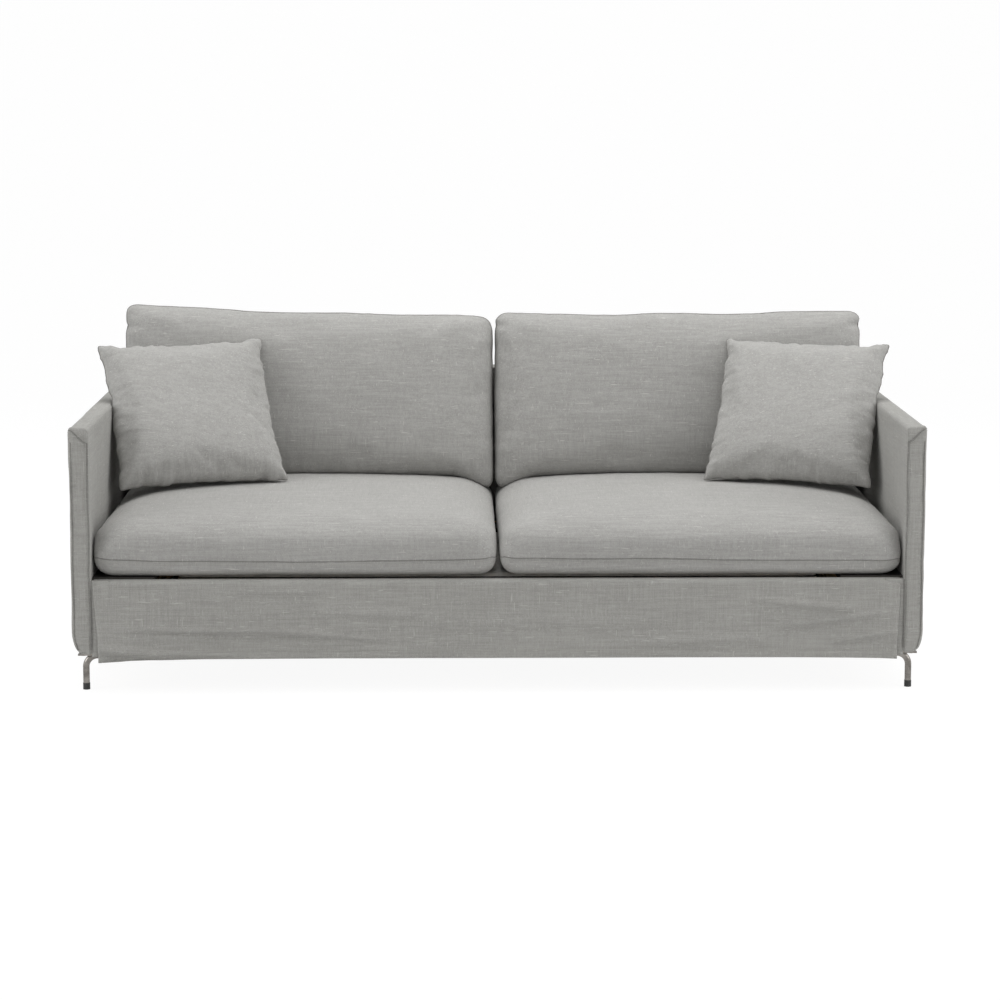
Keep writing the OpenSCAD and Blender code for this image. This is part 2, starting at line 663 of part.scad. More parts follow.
module fold_links() {
    link_a = atan2(hinge2_z - hinge1_z, fold_l);
    link_l = sqrt(pow(fold_l, 2) + pow(hinge2_z - hinge1_z, 2));
    color("silver") both_sides() side_plate(link_x, crank_t)
        translate([hinge1_y + link_dy, hinge1_z + link_dz]) rotate(link_a) difference() {
            union() {
                circle(r = crank_pin_r * 2, $fn = 48);
                translate([link_l, 0]) circle(r = crank_pin_r * 2, $fn = 48);
                translate([0, -crank_pin_r * 1.5]) square([link_l, crank_pin_r * 3]);
            }
            circle(r = crank_pin_r + run_gap, $fn = 48);
            translate([link_l, 0]) circle(r = crank_pin_r + run_gap, $fn = 48);
        }
}

// Fold-down legs of the bed, lying inside their frames
module bed_leg_posts(y, z, dir) {
    color("dimgray") both_sides() difference() {
        union() {
            translate([leg_x, y, z]) rotate([-dir * 90, 0, 0])
                cylinder(r = bed_leg_r, h = leg_l - leg_glide_t, $fn = 48);
            along_x(leg_x - bed_leg_r, y, z, bed_leg_r, 2 * bed_leg_r);
        }
        along_x(leg_x - bed_leg_r - eps, y, z, leg_pin_r + run_gap, 2 * bed_leg_r + 2 * eps);
    }
}
module bed_leg_brace(y, z, dir) {
    color("dimgray") along_x(-leg_x + bed_leg_r * 0.98, y + dir * leg_l * 0.62, z, bed_leg_r * 0.9,
        2 * leg_x - bed_leg_r * 1.96);
}
module bed_leg_glides(y, z, dir) {
    color("black") both_sides() translate([leg_x, y + dir * leg_l, z]) rotate([dir * 90, 0, 0]) difference() {
        cylinder(r = bed_leg_r + leg_glide_t * 0.7, h = leg_glide_l, $fn = 48);
        translate([0, 0, leg_glide_t]) cylinder(r = bed_leg_r, h = leg_glide_l, $fn = 48);
    }
}
module middle_leg_posts() { bed_leg_posts(middle_leg_y, middle_leg_z, -1); }
module middle_leg_brace() { bed_leg_brace(middle_leg_y, middle_leg_z, -1); }
module middle_leg_glides() { bed_leg_glides(middle_leg_y, middle_leg_z, -1); }
module end_leg_posts() { bed_leg_posts(end_leg_y, end_leg_z, 1); }
module end_leg_brace() { bed_leg_brace(end_leg_y, end_leg_z, 1); }
module end_leg_glides() { bed_leg_glides(end_leg_y, end_leg_z, 1); }

// Cushions
cushion_w = arm_inner_x - 2 * seat_gap;
module seat_cushion(side) {
    on_side(side) color("lightgray")
        translate([seat_gap + cushion_w / 2, (seat_front_y + seat_back_y) / 2, deck_z])
            cushion(cushion_w, seat_back_y - seat_front_y, seat_side_h, seat_edge_r, seat_crown, 0, 0.004, 14);
}
module seat_cushion_left() { seat_cushion(-1); }
module seat_cushion_right() { seat_cushion(1); }
back_rise = back_cushion_h / 2 * cos(back_lean) + seat_crown * 0.057;
back_seam_y = back_front_y - back_crown - back_edge_r * 0.27;
module back_cushion(side) {
    on_side(side) color("lightgray")
        translate([seat_gap + cushion_w / 2, back_seam_y, deck_z + seat_side_h + back_rise])
            rotate([90 - back_lean, 0, 0])
                cushion(cushion_w, back_cushion_h, back_cushion_t, back_edge_r, back_crown, back_crown, 0.015, 9);
}
module back_cushion_left() { back_cushion(-1); }
module back_cushion_right() { back_cushion(1); }
pillow_lean = 38;       // lean of the throw pillows
pillow_turn = 16;       // turn of a throw pillow towards the middle of the sofa
pillow_roll = 1;        // turn of a throw pillow in its own plane
pillow_x = arm_inner_x - pillow_w * 0.4702;
pillow_set = 323.8;     // distance from the back cover to the middle of a throw pillow
pillow_y = back_front_y - pillow_set;
pillow_z = deck_z + seat_side_h + pillow_w * 0.4556;
module throw_pillow(side) {
    on_side(side) color("lightgray") translate([pillow_x, pillow_y, pillow_z])
        rotate([0, 0, -pillow_turn]) rotate([90 - pillow_lean, 0, 0]) rotate([0, 0, -pillow_roll])
            pillow(pillow_w, pillow_t);
}
module throw_pillow_left() { throw_pillow(-1); }
module throw_pillow_right() { throw_pillow(1); }

arm_frame_left();
arm_frame_right();
arm_cover_left();
arm_cover_right();
front_rail();
rear_rail();
side_rail_left();
side_rail_right();
bearer_left();
bearer_right();
side_deck_left();
side_deck_right();
rear_deck();
back_top_rail();
back_bottom_rail();
back_posts();
back_webbing();
back_cover();
front_skirt();
rear_skirt();
foot_front_left();
foot_front_right();
foot_rear_left();
foot_rear_right();
foot_glides();
foot_screws();
lift_plate_left();
lift_plate_right();
lift_studs();
plate_bolts();
front_lift_arms();
rear_lift_arms();
head_frame();
head_hinges();
head_mattress();
middle_frame();
middle_hinges();
middle_mattress();
foot_frame();
foot_hinges();
foot_mattress();
pull_strap();
fold_links();
middle_leg_posts();
middle_leg_brace();
middle_leg_glides();
end_leg_posts();
end_leg_brace();
end_leg_glides();
seat_cushion_left();
seat_cushion_right();
back_cushion_left();
back_cushion_right();
throw_pillow_left();
throw_pillow_right();
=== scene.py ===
# %% [markdown]
# # A slip-covered sofa bed
# The sofa has thin padded arms under loose linen covers, two seat cushions, two back cushions and two
# throw pillows. Under the seat lies a steel bed that folds out in three sections. The solids of the
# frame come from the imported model; this lesson dresses them with cloth, stitching and finishes.

# %% Load the frame
import math
import random
import bpy
import numpy as np
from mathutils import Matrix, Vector, noise
from mathutils.bvhtree import BVHTree


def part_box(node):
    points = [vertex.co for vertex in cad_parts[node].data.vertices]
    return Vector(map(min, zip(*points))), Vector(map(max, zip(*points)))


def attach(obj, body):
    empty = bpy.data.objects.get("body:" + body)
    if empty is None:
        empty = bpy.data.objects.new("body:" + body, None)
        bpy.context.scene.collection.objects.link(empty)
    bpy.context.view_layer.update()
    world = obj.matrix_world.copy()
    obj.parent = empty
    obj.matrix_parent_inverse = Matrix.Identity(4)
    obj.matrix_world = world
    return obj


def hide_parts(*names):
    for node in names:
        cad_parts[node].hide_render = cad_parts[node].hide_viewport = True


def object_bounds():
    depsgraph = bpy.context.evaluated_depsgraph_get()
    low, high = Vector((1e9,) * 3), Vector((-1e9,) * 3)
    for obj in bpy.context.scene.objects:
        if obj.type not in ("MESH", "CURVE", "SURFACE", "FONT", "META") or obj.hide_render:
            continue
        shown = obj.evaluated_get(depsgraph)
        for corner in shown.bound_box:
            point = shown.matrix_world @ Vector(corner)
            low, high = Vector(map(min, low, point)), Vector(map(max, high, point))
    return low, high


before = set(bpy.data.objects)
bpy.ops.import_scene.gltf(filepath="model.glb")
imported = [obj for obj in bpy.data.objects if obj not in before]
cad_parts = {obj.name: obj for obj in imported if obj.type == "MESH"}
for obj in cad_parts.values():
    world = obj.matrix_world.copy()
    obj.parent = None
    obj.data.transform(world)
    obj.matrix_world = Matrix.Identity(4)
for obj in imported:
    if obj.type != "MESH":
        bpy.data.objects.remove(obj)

scene = bpy.context.scene
cad_box = [list(corner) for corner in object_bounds()]
print("sofa from", [round(v, 3) for v in cad_box[0]], "to", [round(v, 3) for v in cad_box[1]])

# %% [markdown]
# ## Measures
# Every cloth piece is fitted to the solid that it covers, so its size is read from that solid's box
# and not typed twice. The lean and turn of the loose cushions are the same as in the part's source.
# All lengths are metres. The cushions are described for the right side; a side of -1 is the left.

# %% Measures of the pieces
def box_of(node):
    low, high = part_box(node)
    return np.array(low), np.array(high)


ARM_LOW, ARM_HIGH = box_of("arm_cover_right")
SEAT_LOW, SEAT_HIGH = box_of("seat_cushion_right")
BACK_LOW, BACK_HIGH = box_of("back_cushion_right")
COVER_LOW, COVER_HIGH = box_of("back_cover")
SKIRT_LOW, SKIRT_HIGH = box_of("front_skirt")
DECK = SEAT_LOW[2]
HALF_WIDTH = cad_box[1][0]
FRONT = ARM_LOW[1]
ARM_FACE = ARM_LOW[0]
BACK_LEAN = math.radians(13)
PILLOW_LEAN, PILLOW_TURN, PILLOW_ROLL = (math.radians(a) for a in (38, 16, 1))
SIDES = {1: "right", -1: "left"}
print("deck height", round(float(DECK), 4), "arm face at", round(float(ARM_FACE), 4))

# %% [markdown]
# ## Camera
# The photograph was taken from far away with a long lens, a little left of the middle and a little
# above the cushions. The place and the lens were worked out from the sofa's known corners.

# %% Camera
def added(name, data):
    """A new object in the scene for a mesh, a curve, a light or a camera."""
    made = bpy.data.objects.new(name, data)
    scene.collection.objects.link(made)
    return made


lens = bpy.data.cameras.new("studio_camera")
camera = added("studio_camera", lens)
lens.sensor_width = 36
lens.lens = 106.64
lens.clip_end = 60
camera.location = (-0.1132, -7.4809, 1.501)
camera.rotation_euler = (math.radians(90 - 8.369), 0, math.radians(-0.955))
scene.camera = camera
print("camera", round(-camera.location.y, 2), "m in front of the sofa's middle")

# %% [markdown]
# ## Shader sums as plain expressions
# A material is a network of nodes. Writing each Math node by hand hides the idea, so this class wraps
# one output of the network and lets Python's own + * / add the nodes. Anything that isn't a sum
# comes from one function, which sets a node's own settings before its sockets.

# %% Shader helper
class Yarn:
    """One output of a node tree; sums on it add Math nodes."""

    def __init__(self, tree, socket):
        self.tree, self.socket = tree, socket

    def sum(self, operation, *parts, clamp=False):
        settings = {"operation": operation, "use_clamp": clamp}
        return node(self.tree, "Math", settings, dict(enumerate(parts)))

    def __add__(self, other):
        return self.sum("ADD", self, other)

    def __mul__(self, other):
        return self.sum("MULTIPLY", self, other)

    def __truediv__(self, other):
        return self.sum("DIVIDE", self, other)

    def kept(self):
        return self.sum("ADD", self, 0.0, clamp=True)

    def wave(self):
        return self.sum("SINE", self)


def node(tree, kind, settings=None, sockets=None, output=0):
    """Add a node from its type, its settings and its sockets, each a number or another output."""
    made = tree.nodes.new("ShaderNode" + kind)
    for key, value in (settings or {}).items():
        setattr(made, key, value)
    for key, value in (sockets or {}).items():
        if isinstance(value, Yarn):
            tree.links.new(value.socket, made.inputs[key])
        else:
            made.inputs[key].default_value = value
    return Yarn(tree, made.outputs[output]) if made.outputs else made


class Finish:
    """A material with one shader."""

    def __init__(self, name, **constants):
        self.material = bpy.data.materials.new(name)
        self.material.use_nodes = True
        self.tree = self.material.node_tree
        self.tree.nodes.clear()
        self.constants = {key.replace("_", " "): value for key, value in constants.items()}
        self.place = self.node("TexCoord", output="Object")

    def node(self, *parts, **named):
        return node(self.tree, *parts, **named)

    def stretched(self, scale):
        return self.node("Mapping", sockets={"Vector": self.place, "Scale": scale})

    def grain(self, scale, detail=2.0, rough=0.5):
        """Noise from 0 to 1; the scale is one figure, or one for each axis."""
        scale = scale if hasattr(scale, "__len__") else (scale, scale, scale)
        sockets = {"Vector": self.stretched(scale), "Scale": 1.0, "Detail": detail, "Roughness": rough}
        return self.node("TexNoise", sockets=sockets)

    def ramp(self, value, low, high):
        sockets = {"Value": value, "From Min": low, "From Max": high}
        return self.node("MapRange", {"interpolation_type": "SMOOTHSTEP"}, sockets)

    def mixed(self, factor, first, second):
        """A colour between two; each of them is a colour or an output."""
        first, second = (c if isinstance(c, Yarn) else (*c, 1) for c in (first, second))
        return self.node("Mix", {"data_type": "RGBA"}, {0: factor, 6: first, 7: second}, output=2)

    def finished(self, colour, rough, *bumps):
        """Join up the shader. Each bump is a height, its distance in metres and its strength."""
        sockets = {**self.constants, "Base Color": colour}
        if rough:
            sockets["Roughness"] = rough
        for height, distance, strength in bumps:
            bump = {"Height": height, "Distance": distance, "Strength": strength}
            if "Normal" in sockets:
                bump["Normal"] = sockets["Normal"]
            sockets["Normal"] = self.node("Bump", sockets=bump)
        shader = self.node("BsdfPrincipled", sockets=sockets)
        self.node("OutputMaterial", sockets={"Surface": shader})
        return self.material


def srgb(*levels):
    """The linear colour for levels read off a screen, from 0 to 255."""
    return tuple(((v / 255 + 0.055) / 1.055) ** 2.4 if v > 10 else v / 255 / 12.92 for v in levels)


def plain_finish(name, dark, pale, grain, bump, rough=None, clouds=None, **constants):
    """Fine grain with its own bump; the colour follows it, or slow clouds of a scale and two limits.
    The roughness is the grain times the first figure, plus the second."""
    made = Finish(name, **constants)
    fine = made.grain(grain, detail=1)
    blend = made.ramp(made.grain(clouds[0], detail=4, rough=0.6), *clouds[1:]) if clouds else fine
    rough = fine * rough[0] + rough[1] if rough else None
    return made.finished(made.mixed(blend, srgb(*dark), srgb(*pale)), rough, (fine, *bump))


print("shader helper ready")

# %% [markdown]
# ## Linen
# The covers are a loose plain weave of grey linen. What makes it linen and not felt is its uneven
# yarn: each thread has its own grey, and here and there a slub, a thick pale stretch a few
# centimetres long, runs along the warp or the weft. The threads follow the object's own axes,
# so noise that is stretched a hundredfold along one axis draws them on every face without a map.

# %% Linen finish
def linen(name, dark, pale, slub):
    cloth = Finish(name, Roughness=0.94, Sheen_Weight=0.10, Sheen_Roughness=0.6, Specular_IOR_Level=0.15)

    def yarn(along, across, detail=1.0):
        """Noise drawn out along each axis in turn, one for each way that threads can run."""
        ways = ((along, across, across), (across, along, across), (across, across, along))
        return [cloth.grain(way, detail) for way in ways]

    fine, streaks = yarn(along=14, across=760, detail=2.0), yarn(along=10, across=150, detail=2.0)
    threads = (fine[0] + fine[1] + fine[2]) / 3
    bands = cloth.ramp((streaks[0] * 1.3 + streaks[1] * 0.7 + streaks[2] * 1.0) / 3, 0.40, 0.60)
    thick = [cloth.ramp(part, low, low + 0.06)
             for part, low in zip(yarn(along=24, across=330), (0.690, 0.705, 0.700))]
    slubs = (thick[0] + thick[1] + thick[2]).kept()
    clouds = cloth.ramp(cloth.grain(4, detail=4, rough=0.65), 0.3, 0.7)
    level = cloth.ramp(threads, 0.42, 0.58) * 0.55 + bands * 0.30 + clouds * 0.15
    ground = cloth.mixed(level.kept(), dark, pale)
    knots = cloth.grain(1500, detail=0)
    return cloth.finished(cloth.mixed(slubs * 0.75, ground, slub), None, (bands, 0.0007, 0.25),
                          (threads, 0.0012, 0.5), (slubs, 0.0008, 0.35), (knots, 0.0004, 0.4))


cover_linen = linen("cover_linen", srgb(142, 141, 137), srgb(165, 164, 160), srgb(183, 182, 178))
# Lighter copy of the cover linen for cushions and pillows: painted light for the light that falls on
# them.
cushion_linen_painted_light = linen("cushion_linen_painted_light", srgb(150, 149, 146), srgb(174, 173, 170), srgb(194, 193, 189))
# Darker linen for the welts: painted shade for the groove along each seam.
seam_linen_painted_shade = linen("seam_linen_painted_shade", srgb(118, 117, 114), srgb(140, 139, 135), srgb(158, 157, 153))
print("linen finishes", [m.name for m in (cover_linen, cushion_linen_painted_light, seam_linen_painted_shade)])

# %% [markdown]
# ## Thread, ticking and webbing
# Stitching is polyester thread a shade lighter than the linen. The mattress has a pale woven ticking,
# and the back springs on black elastic webbing, a coarse weave of wide warp ribs.

# %% Thread, ticking and webbing finishes
def ticking_finish():
    tick = Finish("mattress_ticking", Roughness=0.85, Sheen_Weight=0.1)
    weave = tick.grain((700, 40, 700), detail=1) * 0.5 + tick.grain((40, 700, 700), detail=1) * 0.5
    place = {"Vector": tick.stretched((95, 95, 95))}
    across, along = (tick.node("SeparateXYZ", sockets=place, output=axis).wave() for axis in (0, 1))
    pattern = tick.ramp(across * along, -0.1, 0.1)
    ground = tick.mixed(weave, srgb(206, 204, 198), srgb(236, 234, 228))
    colour = tick.mixed(pattern * 0.35, ground, srgb(196, 194, 188))
    return tick.finished(colour, None, (pattern, 0.0006, 0.4), (weave, 0.0006, 0.6))


def webbing_finish(name, dark, pale):
    web = Finish(name, Roughness=0.8)
    ribs = web.grain((900, 30, 30), detail=1) * 0.5 + web.grain((30, 30, 500), detail=1) * 0.5
    return web.finished(web.mixed(web.ramp(ribs, 0.35, 0.65), dark, pale), None, (ribs, 0.0008, 0.7))


thread = plain_finish("sewing_thread", (150, 149, 144), (186, 185, 180), grain=1500, bump=(0.0002, 0.5),
                      Roughness=0.7, Sheen_Weight=0.2)
ticking = ticking_finish()
webbing = webbing_finish("elastic_webbing", srgb(28, 28, 28), srgb(62, 61, 59))
strap_web = webbing_finish("strap_webbing", srgb(20, 20, 20), srgb(48, 48, 47))
print("cloth finishes ready")

# %% [markdown]
# ## Timber and plywood
# The frame is planed softwood, with dark latewood lines along each board and a lighter ground
# between them. The lines are a wave of slow noise that is drawn out along the board, and the pores
# are finer noise drawn out further. The deck boards are plywood coloured near black as painted
# shade in the gaps under the seat, so that no pale edge shows there.

# %% Timber finishes
def timber_finish(name, pale, dark, rings, axis):
    wood = Finish(name, Roughness=0.6)
    stretch, pores = [9, 9, 9], [700, 700, 700]
    stretch[axis], pores[axis] = 1.2, 18
    lines = (wood.grain(stretch, detail=3, rough=0.55) * rings).wave() * 0.5 + 0.5
    fine = wood.grain(pores)
    ground = wood.mixed(wood.ramp(lines, 0.35, 1.0), pale, dark)
    colour = wood.mixed(wood.ramp(fine, 0.45, 0.75) * 0.35, ground, dark)
    rough = wood.ramp(fine, 0.2, 0.8) * 0.2 + 0.5
    return wood.finished(colour, rough, (lines, 0.0006, 0.3), (fine, 0.0004, 0.4))


PINE, PINE_DARK = srgb(214, 178, 128), srgb(168, 120, 72)
for axis, name in enumerate(("pine_long", "pine_deep", "pine_tall")):
    timber_finish(name, PINE, PINE_DARK, rings=60, axis=axis)
# Near-black plywood for the decks: painted shade in the gaps under the seat.
timber_finish("plywood_painted_shade", srgb(40, 37, 34), srgb(22, 20, 19), rings=30, axis=0)
print("timber finishes ready")

# %% [markdown]
# ## Metal and plastic
# The bed is powder coated, which leaves a fine orange-peel skin. Hinge plates, pins and screws are
# zinc plated and a little cloudy. The sofa's own feet are steel rod with a dark brushed plating,
# and all glides are moulded plastic with a fine spark texture.

# %% Metal and plastic finishes
plain_finish("powder_coat", (44, 45, 47), (60, 61, 63), grain=420, bump=(0.0003, 0.5),
             rough=(0.12, 0.36), clouds=(16, 0.3, 0.75))
plain_finish("zinc_plate", (150, 150, 146), (196, 196, 190), grain=200, bump=(0.0001, 0.35),
             rough=(0.14, 0.28), clouds=(30, 0.3, 0.7), Metallic=1.0)
plain_finish("rod_plate", (104, 100, 96), (150, 146, 141), grain=(60, 60, 900), bump=(0.0001, 0.35),
             rough=(0.14, 0.22), clouds=(30, 0.3, 0.7), Metallic=1.0)
plain_finish("glide_plastic", (22, 22, 23), (36, 36, 37), grain=900, bump=(0.0002, 0.5),
             rough=(0.15, 0.4))
print("hard finishes ready")

# %% [markdown]
# ## Cloth skins from a box of squares
# Each cushion starts as a box whose six sides are ruled into small squares, because even squares
# crease like woven cloth. The box is then rounded: a point near an edge is pulled on to an ellipse
# around that edge, so that the soft top edge and the tight lower edge can differ.

# %% Skins
ON_FACE = 0.999         # a skin point past this share of an axis lies on that face of the box


def ruled(squares, length=1.0, margins=()):
    """Lines from -1 to 1, even in between, with closer ones at the margins from each end."""
    close = [2 * m / length - 1 for m in margins]
    start = close[-1] if close else -1
    even = list(np.linspace(start, -start, squares + 1))
    return np.array([-1] + close[:-1] + even + [-c for c in close[:-1][::-1]] + [1] if close else even)


def box_skin(rulers):
    """Squares over the six sides of a box, as points from -1 to 1 and faces that look outwards."""
    rulers = [ruled(r) if isinstance(r, int) else r for r in rulers]
    counts = [len(r) - 1 for r in rulers]
    places, points, faces = {}, [], []

    def corner(step):
        if step not in places:
            places[step] = len(points)
            points.append([ruler[s] for s, ruler in zip(step, rulers)])
        return places[step]

    for axis in range(3):
        first, second = (axis + 1) % 3, (axis + 2) % 3
        for end in (0, counts[axis]):
            for a in range(counts[first]):
                for b in range(counts[second]):
                    ring = []
                    for da, db in ((0, 0), (1, 0), (1, 1), (0, 1)):
                        step = [0, 0, 0]
                        step[axis], step[first], step[second] = end, a + da, b + db
                        ring.append(corner(tuple(step)))
                    faces.append(ring if end else ring[::-1])
    return np.array(points), faces


def grid_faces(columns, rows, turned_over=False):
    """Squares between the points of a grid that is listed row by row."""
    faces = []
    for j in range(rows):
        for i in range(columns):
            a = j * (columns + 1) + i
            ring = (a, a + columns + 1, a + columns + 2, a + 1)
            faces.append(ring[::-1] if turned_over else ring)
    return faces


def unit(vectors):
    return vectors / np.maximum(np.linalg.norm(vectors, axis=1, keepdims=True), 1e-9)


def rounded(points, half, radii):
    """Pull box points on to ellipses round the edges; radii may differ from point to point."""
    inner = np.clip(points, -(half - radii), half - radii)
    reach = (points - inner) / radii
    length = np.linalg.norm(reach, axis=1, keepdims=True)
    return inner + reach / np.maximum(length, 1) * radii


def line_of(x, y, z):
    """Points from three coordinates, each of which is one number or one for every point."""
    return np.stack(np.broadcast_arrays(x, y, z), 1)


def smooth_step(value, low, high):
    share = np.clip((value - low) / (high - low), 0, 1)
    return share * share * (3 - 2 * share)


def ring_order(points, mask):
    """The masked points in order round their middle, as seen from above."""
    chosen = np.flatnonzero(mask)
    arms = points[chosen] - points[chosen].mean(0)
    return chosen[np.argsort(np.arctan2(arms[:, 1], arms[:, 0]))]


print("skin of 4 x 4 x 2 squares has", len(box_skin((4, 4, 2))[1]), "faces")

# %% [markdown]
# ## Meshes
# Numbers go in and out of a mesh as one array of points. A piece also has to say which body it rides
# on and which solid it stands for.

# %% Meshes
def make_mesh(name, points, faces, material):
    mesh = bpy.data.meshes.new(name)
    mesh.from_pydata([tuple(p) for p in points], [], faces)
    mesh.materials.append(material)
    mesh.polygons.foreach_set("use_smooth", [True] * len(mesh.polygons))
    mesh.update()
    return added(name, mesh)


def read_rows(items, field):
    flat = np.empty(3 * len(items))
    items.foreach_get(field, flat)
    return flat.reshape(-1, 3)


def points_of(obj):
    return read_rows(obj.data.vertices, "co")


def normals_of(obj):
    return read_rows(obj.data.vertex_normals, "vector")


def set_points(obj, points, side=1):
    """Move the points of a mesh; a side of -1 turns them over for the left."""
    points = np.asarray(points, dtype=float) * (side, 1, 1)
    obj.data.vertices.foreach_set("co", points.ravel())
    obj.data.update()
    if side < 0:
        obj.data.flip_normals()


def apply_modifiers(obj):
    """Turn the object with its modifiers into a plain mesh under the same name."""
    drawn = obj.evaluated_get(bpy.context.evaluated_depsgraph_get())
    mesh = bpy.data.meshes.new_from_object(drawn)
    obj.modifiers.clear()
    old, name = obj.data, obj.data.name
    obj.data = mesh
    bpy.data.meshes.remove(old)
    mesh.name = name


def subdivide(obj):
    """Finer squares; gives the new points and their normals."""
    obj.modifiers.new("finer", "SUBSURF")
    apply_modifiers(obj)
    return points_of(obj), normals_of(obj)


def thicken(obj, thickness):
    """Give a sheet of cloth its thickness, inwards."""
    cloth = obj.modifiers.new("cloth", "SOLIDIFY")
    cloth.thickness, cloth.offset = thickness, -1
    apply_modifiers(obj)


def dress(obj, body, slot="linen", stands_for=None):
    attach(obj, body)
    if stands_for:
        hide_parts(stands_for)
    return obj


def faces_in(pieces):
    return [len(piece.data.polygons) for piece in pieces]


# %% [markdown]
# ## Filling a cover
# A cushion is cut flat, and its filling pushes the cloth out until it pulls in between the corners.
# Blender's cloth solver does the same with pressure inside the skin and gravity off. About twenty
# frames are enough, and a cap on the travel keeps the swelling to what foam would do.

# %% Cloth solver
def fill_with_pressure(obj, cap, pressure=4.0, shrink=-0.02, stiffness=18, frames=20, draw=0.4):
    """Fill a skin that lies flat; draw is the share of the rim's pull inwards that is kept."""
    start = points_of(obj).copy()
    solver = obj.modifiers.new("filling", "CLOTH")
    cloth = solver.settings
    cloth.quality = 4
    cloth.mass = 0.4
    cloth.tension_stiffness = cloth.compression_stiffness = stiffness
    cloth.shear_stiffness = stiffness * 0.4
    cloth.bending_stiffness = 0.6
    cloth.shrink_min = shrink
    cloth.use_pressure = True
    cloth.uniform_pressure_force = pressure
    cloth.effector_weights.gravity = 0
    solver.collision_settings.use_collision = False
    solver.point_cache.frame_start, solver.point_cache.frame_end = 1, frames
    for frame_number in range(1, frames + 1):
        scene.frame_set(frame_number)
    apply_modifiers(obj)
    scene.frame_set(1)
    travel = points_of(obj) - start
    length = np.linalg.norm(travel, axis=1, keepdims=True)
    travel *= cap * np.tanh(length / cap) / np.maximum(length, 1e-9)
    inwards = travel[:, :2] * np.sign(start[:, :2]) < 0
    travel[:, :2] *= np.where(inwards, draw, 1.0)
    set_points(obj, start + travel)


def filled(name, shape, faces, reach, cap, **solver):
    """A filled cushion, and its points scaled to fill its place; reach is a half size for each axis."""
    # Cushions and pillows wear the lighter cushion linen, which is painted light.
    cushion = make_mesh(name, shape, faces, cushion_linen_painted_light)
    fill_with_pressure(cushion, cap, **solver)
    points = points_of(cushion)
    low, high = points.min(0), points.max(0)
    return cushion, ((points - low) / (high - low) * 2 - 1) * reach


print("solver", "on")

# %% [markdown]
# ## Folds and limits
# Noise with its own scale for each axis gives a cloth its soft folds. A cushion also flattens against
# whatever it meets: a plain limit eases its points to a plane, and a surface pushes them out.

# %% Noise, puckers and limits
def cloth_noise(points, scale, seed, octaves=3):
    """Seeded noise from -1 to 1; scale holds one figure per axis, and a long fold has a small one."""
    shift = Vector((seed * 7.31, seed * 3.17, seed * 5.43))
    stretched = points * np.array(scale)
    return np.array([noise.fractal(Vector(p) + shift, 1.0, 2.0, octaves) for p in stretched])


def folds(points, *layers):
    """Folds of several sizes; each has a height, then the scale, seed and octaves of its noise."""
    return sum(height * cloth_noise(points, *kind) for height, *kind in layers)


def gathers(points, half, seed, pitch, depth):
    """Short puckers, from -1 to 1, that run in from the seam round a flat cushion."""
    room = np.array(half) - np.abs(points[:, :2])
    beside = room[:, 0] < room[:, 1]
    along = np.where(beside, points[:, 1], points[:, 0])
    edge = np.where(beside, np.sign(points[:, 0]), 3 * np.sign(points[:, 1]))
    inside = np.maximum(room.min(1), 0)
    line = np.stack([along / pitch, edge * 5.0, inside / depth * 0.6], 1)
    return cloth_noise(line, (1, 1, 1), seed, 2) * np.exp(-inside / depth) * smooth_step(inside, 0, 0.007)


def drawn_in(points, level, depth, pucker):
    """Pull a side seam towards the cushion's upright axis; level is 1 on the seam and fades from it."""
    return points - unit(points * (1, 1, 0)) * (depth * level * pucker)[:, None]


def eased(values, limit, ease):
    """Values may come near a limit but not past it, as foam flattens against what it meets."""
    start = limit - ease
    over = np.maximum(values - start, 0)
    return np.where(values > start, start + ease * (1 - np.exp(-over / ease)), values)


def pressed(values, high, high_ease, low, low_ease):
    """Values between an upper limit and a lower one, each given as a distance from 0."""
    return -eased(-eased(values, high, high_ease), low, low_ease)


def turned(points, angle, axis):
    """Turn points about one of the axes by the right-hand rule."""
    c, s = math.cos(angle), math.sin(angle)
    first, second = (axis + 1) % 3, (axis + 2) % 3
    out = points.copy()
    out[:, first] = points[:, first] * c - points[:, second] * s
    out[:, second] = points[:, first] * s + points[:, second] * c
    return out


def kept_outside(points, others, gap, reach=0.05):
    """Push points out that are inside other pieces, down to the reach, or nearer than the gap."""
    out = points.copy()
    for other in others:
        places = [v.co.copy() for v in other.data.vertices]
        tree = BVHTree.FromPolygons(places, [tuple(f.vertices) for f in other.data.polygons])
        for i, p in enumerate(out.copy()):
            spot, normal, _, _ = tree.find_nearest(Vector(p), reach)
            if spot is None:
                continue
            depth = (Vector(p) - spot).dot(normal)
            if depth < gap:
                out[i] += np.array(normal) * (gap - depth)
    return out


# %% [markdown]
# ## Seams, welts and stitches
# A seam is drawn twice: as a thin welt where two cloths meet, and as a row of stitches beside it.
# The stitches are a Geometry Nodes tree. It walks along a curve at a fixed stitch length and sets a
# short thread on each step, which is what a sewing machine does.

# %% Welts and the stitch tree
WELT_SIDES = 6


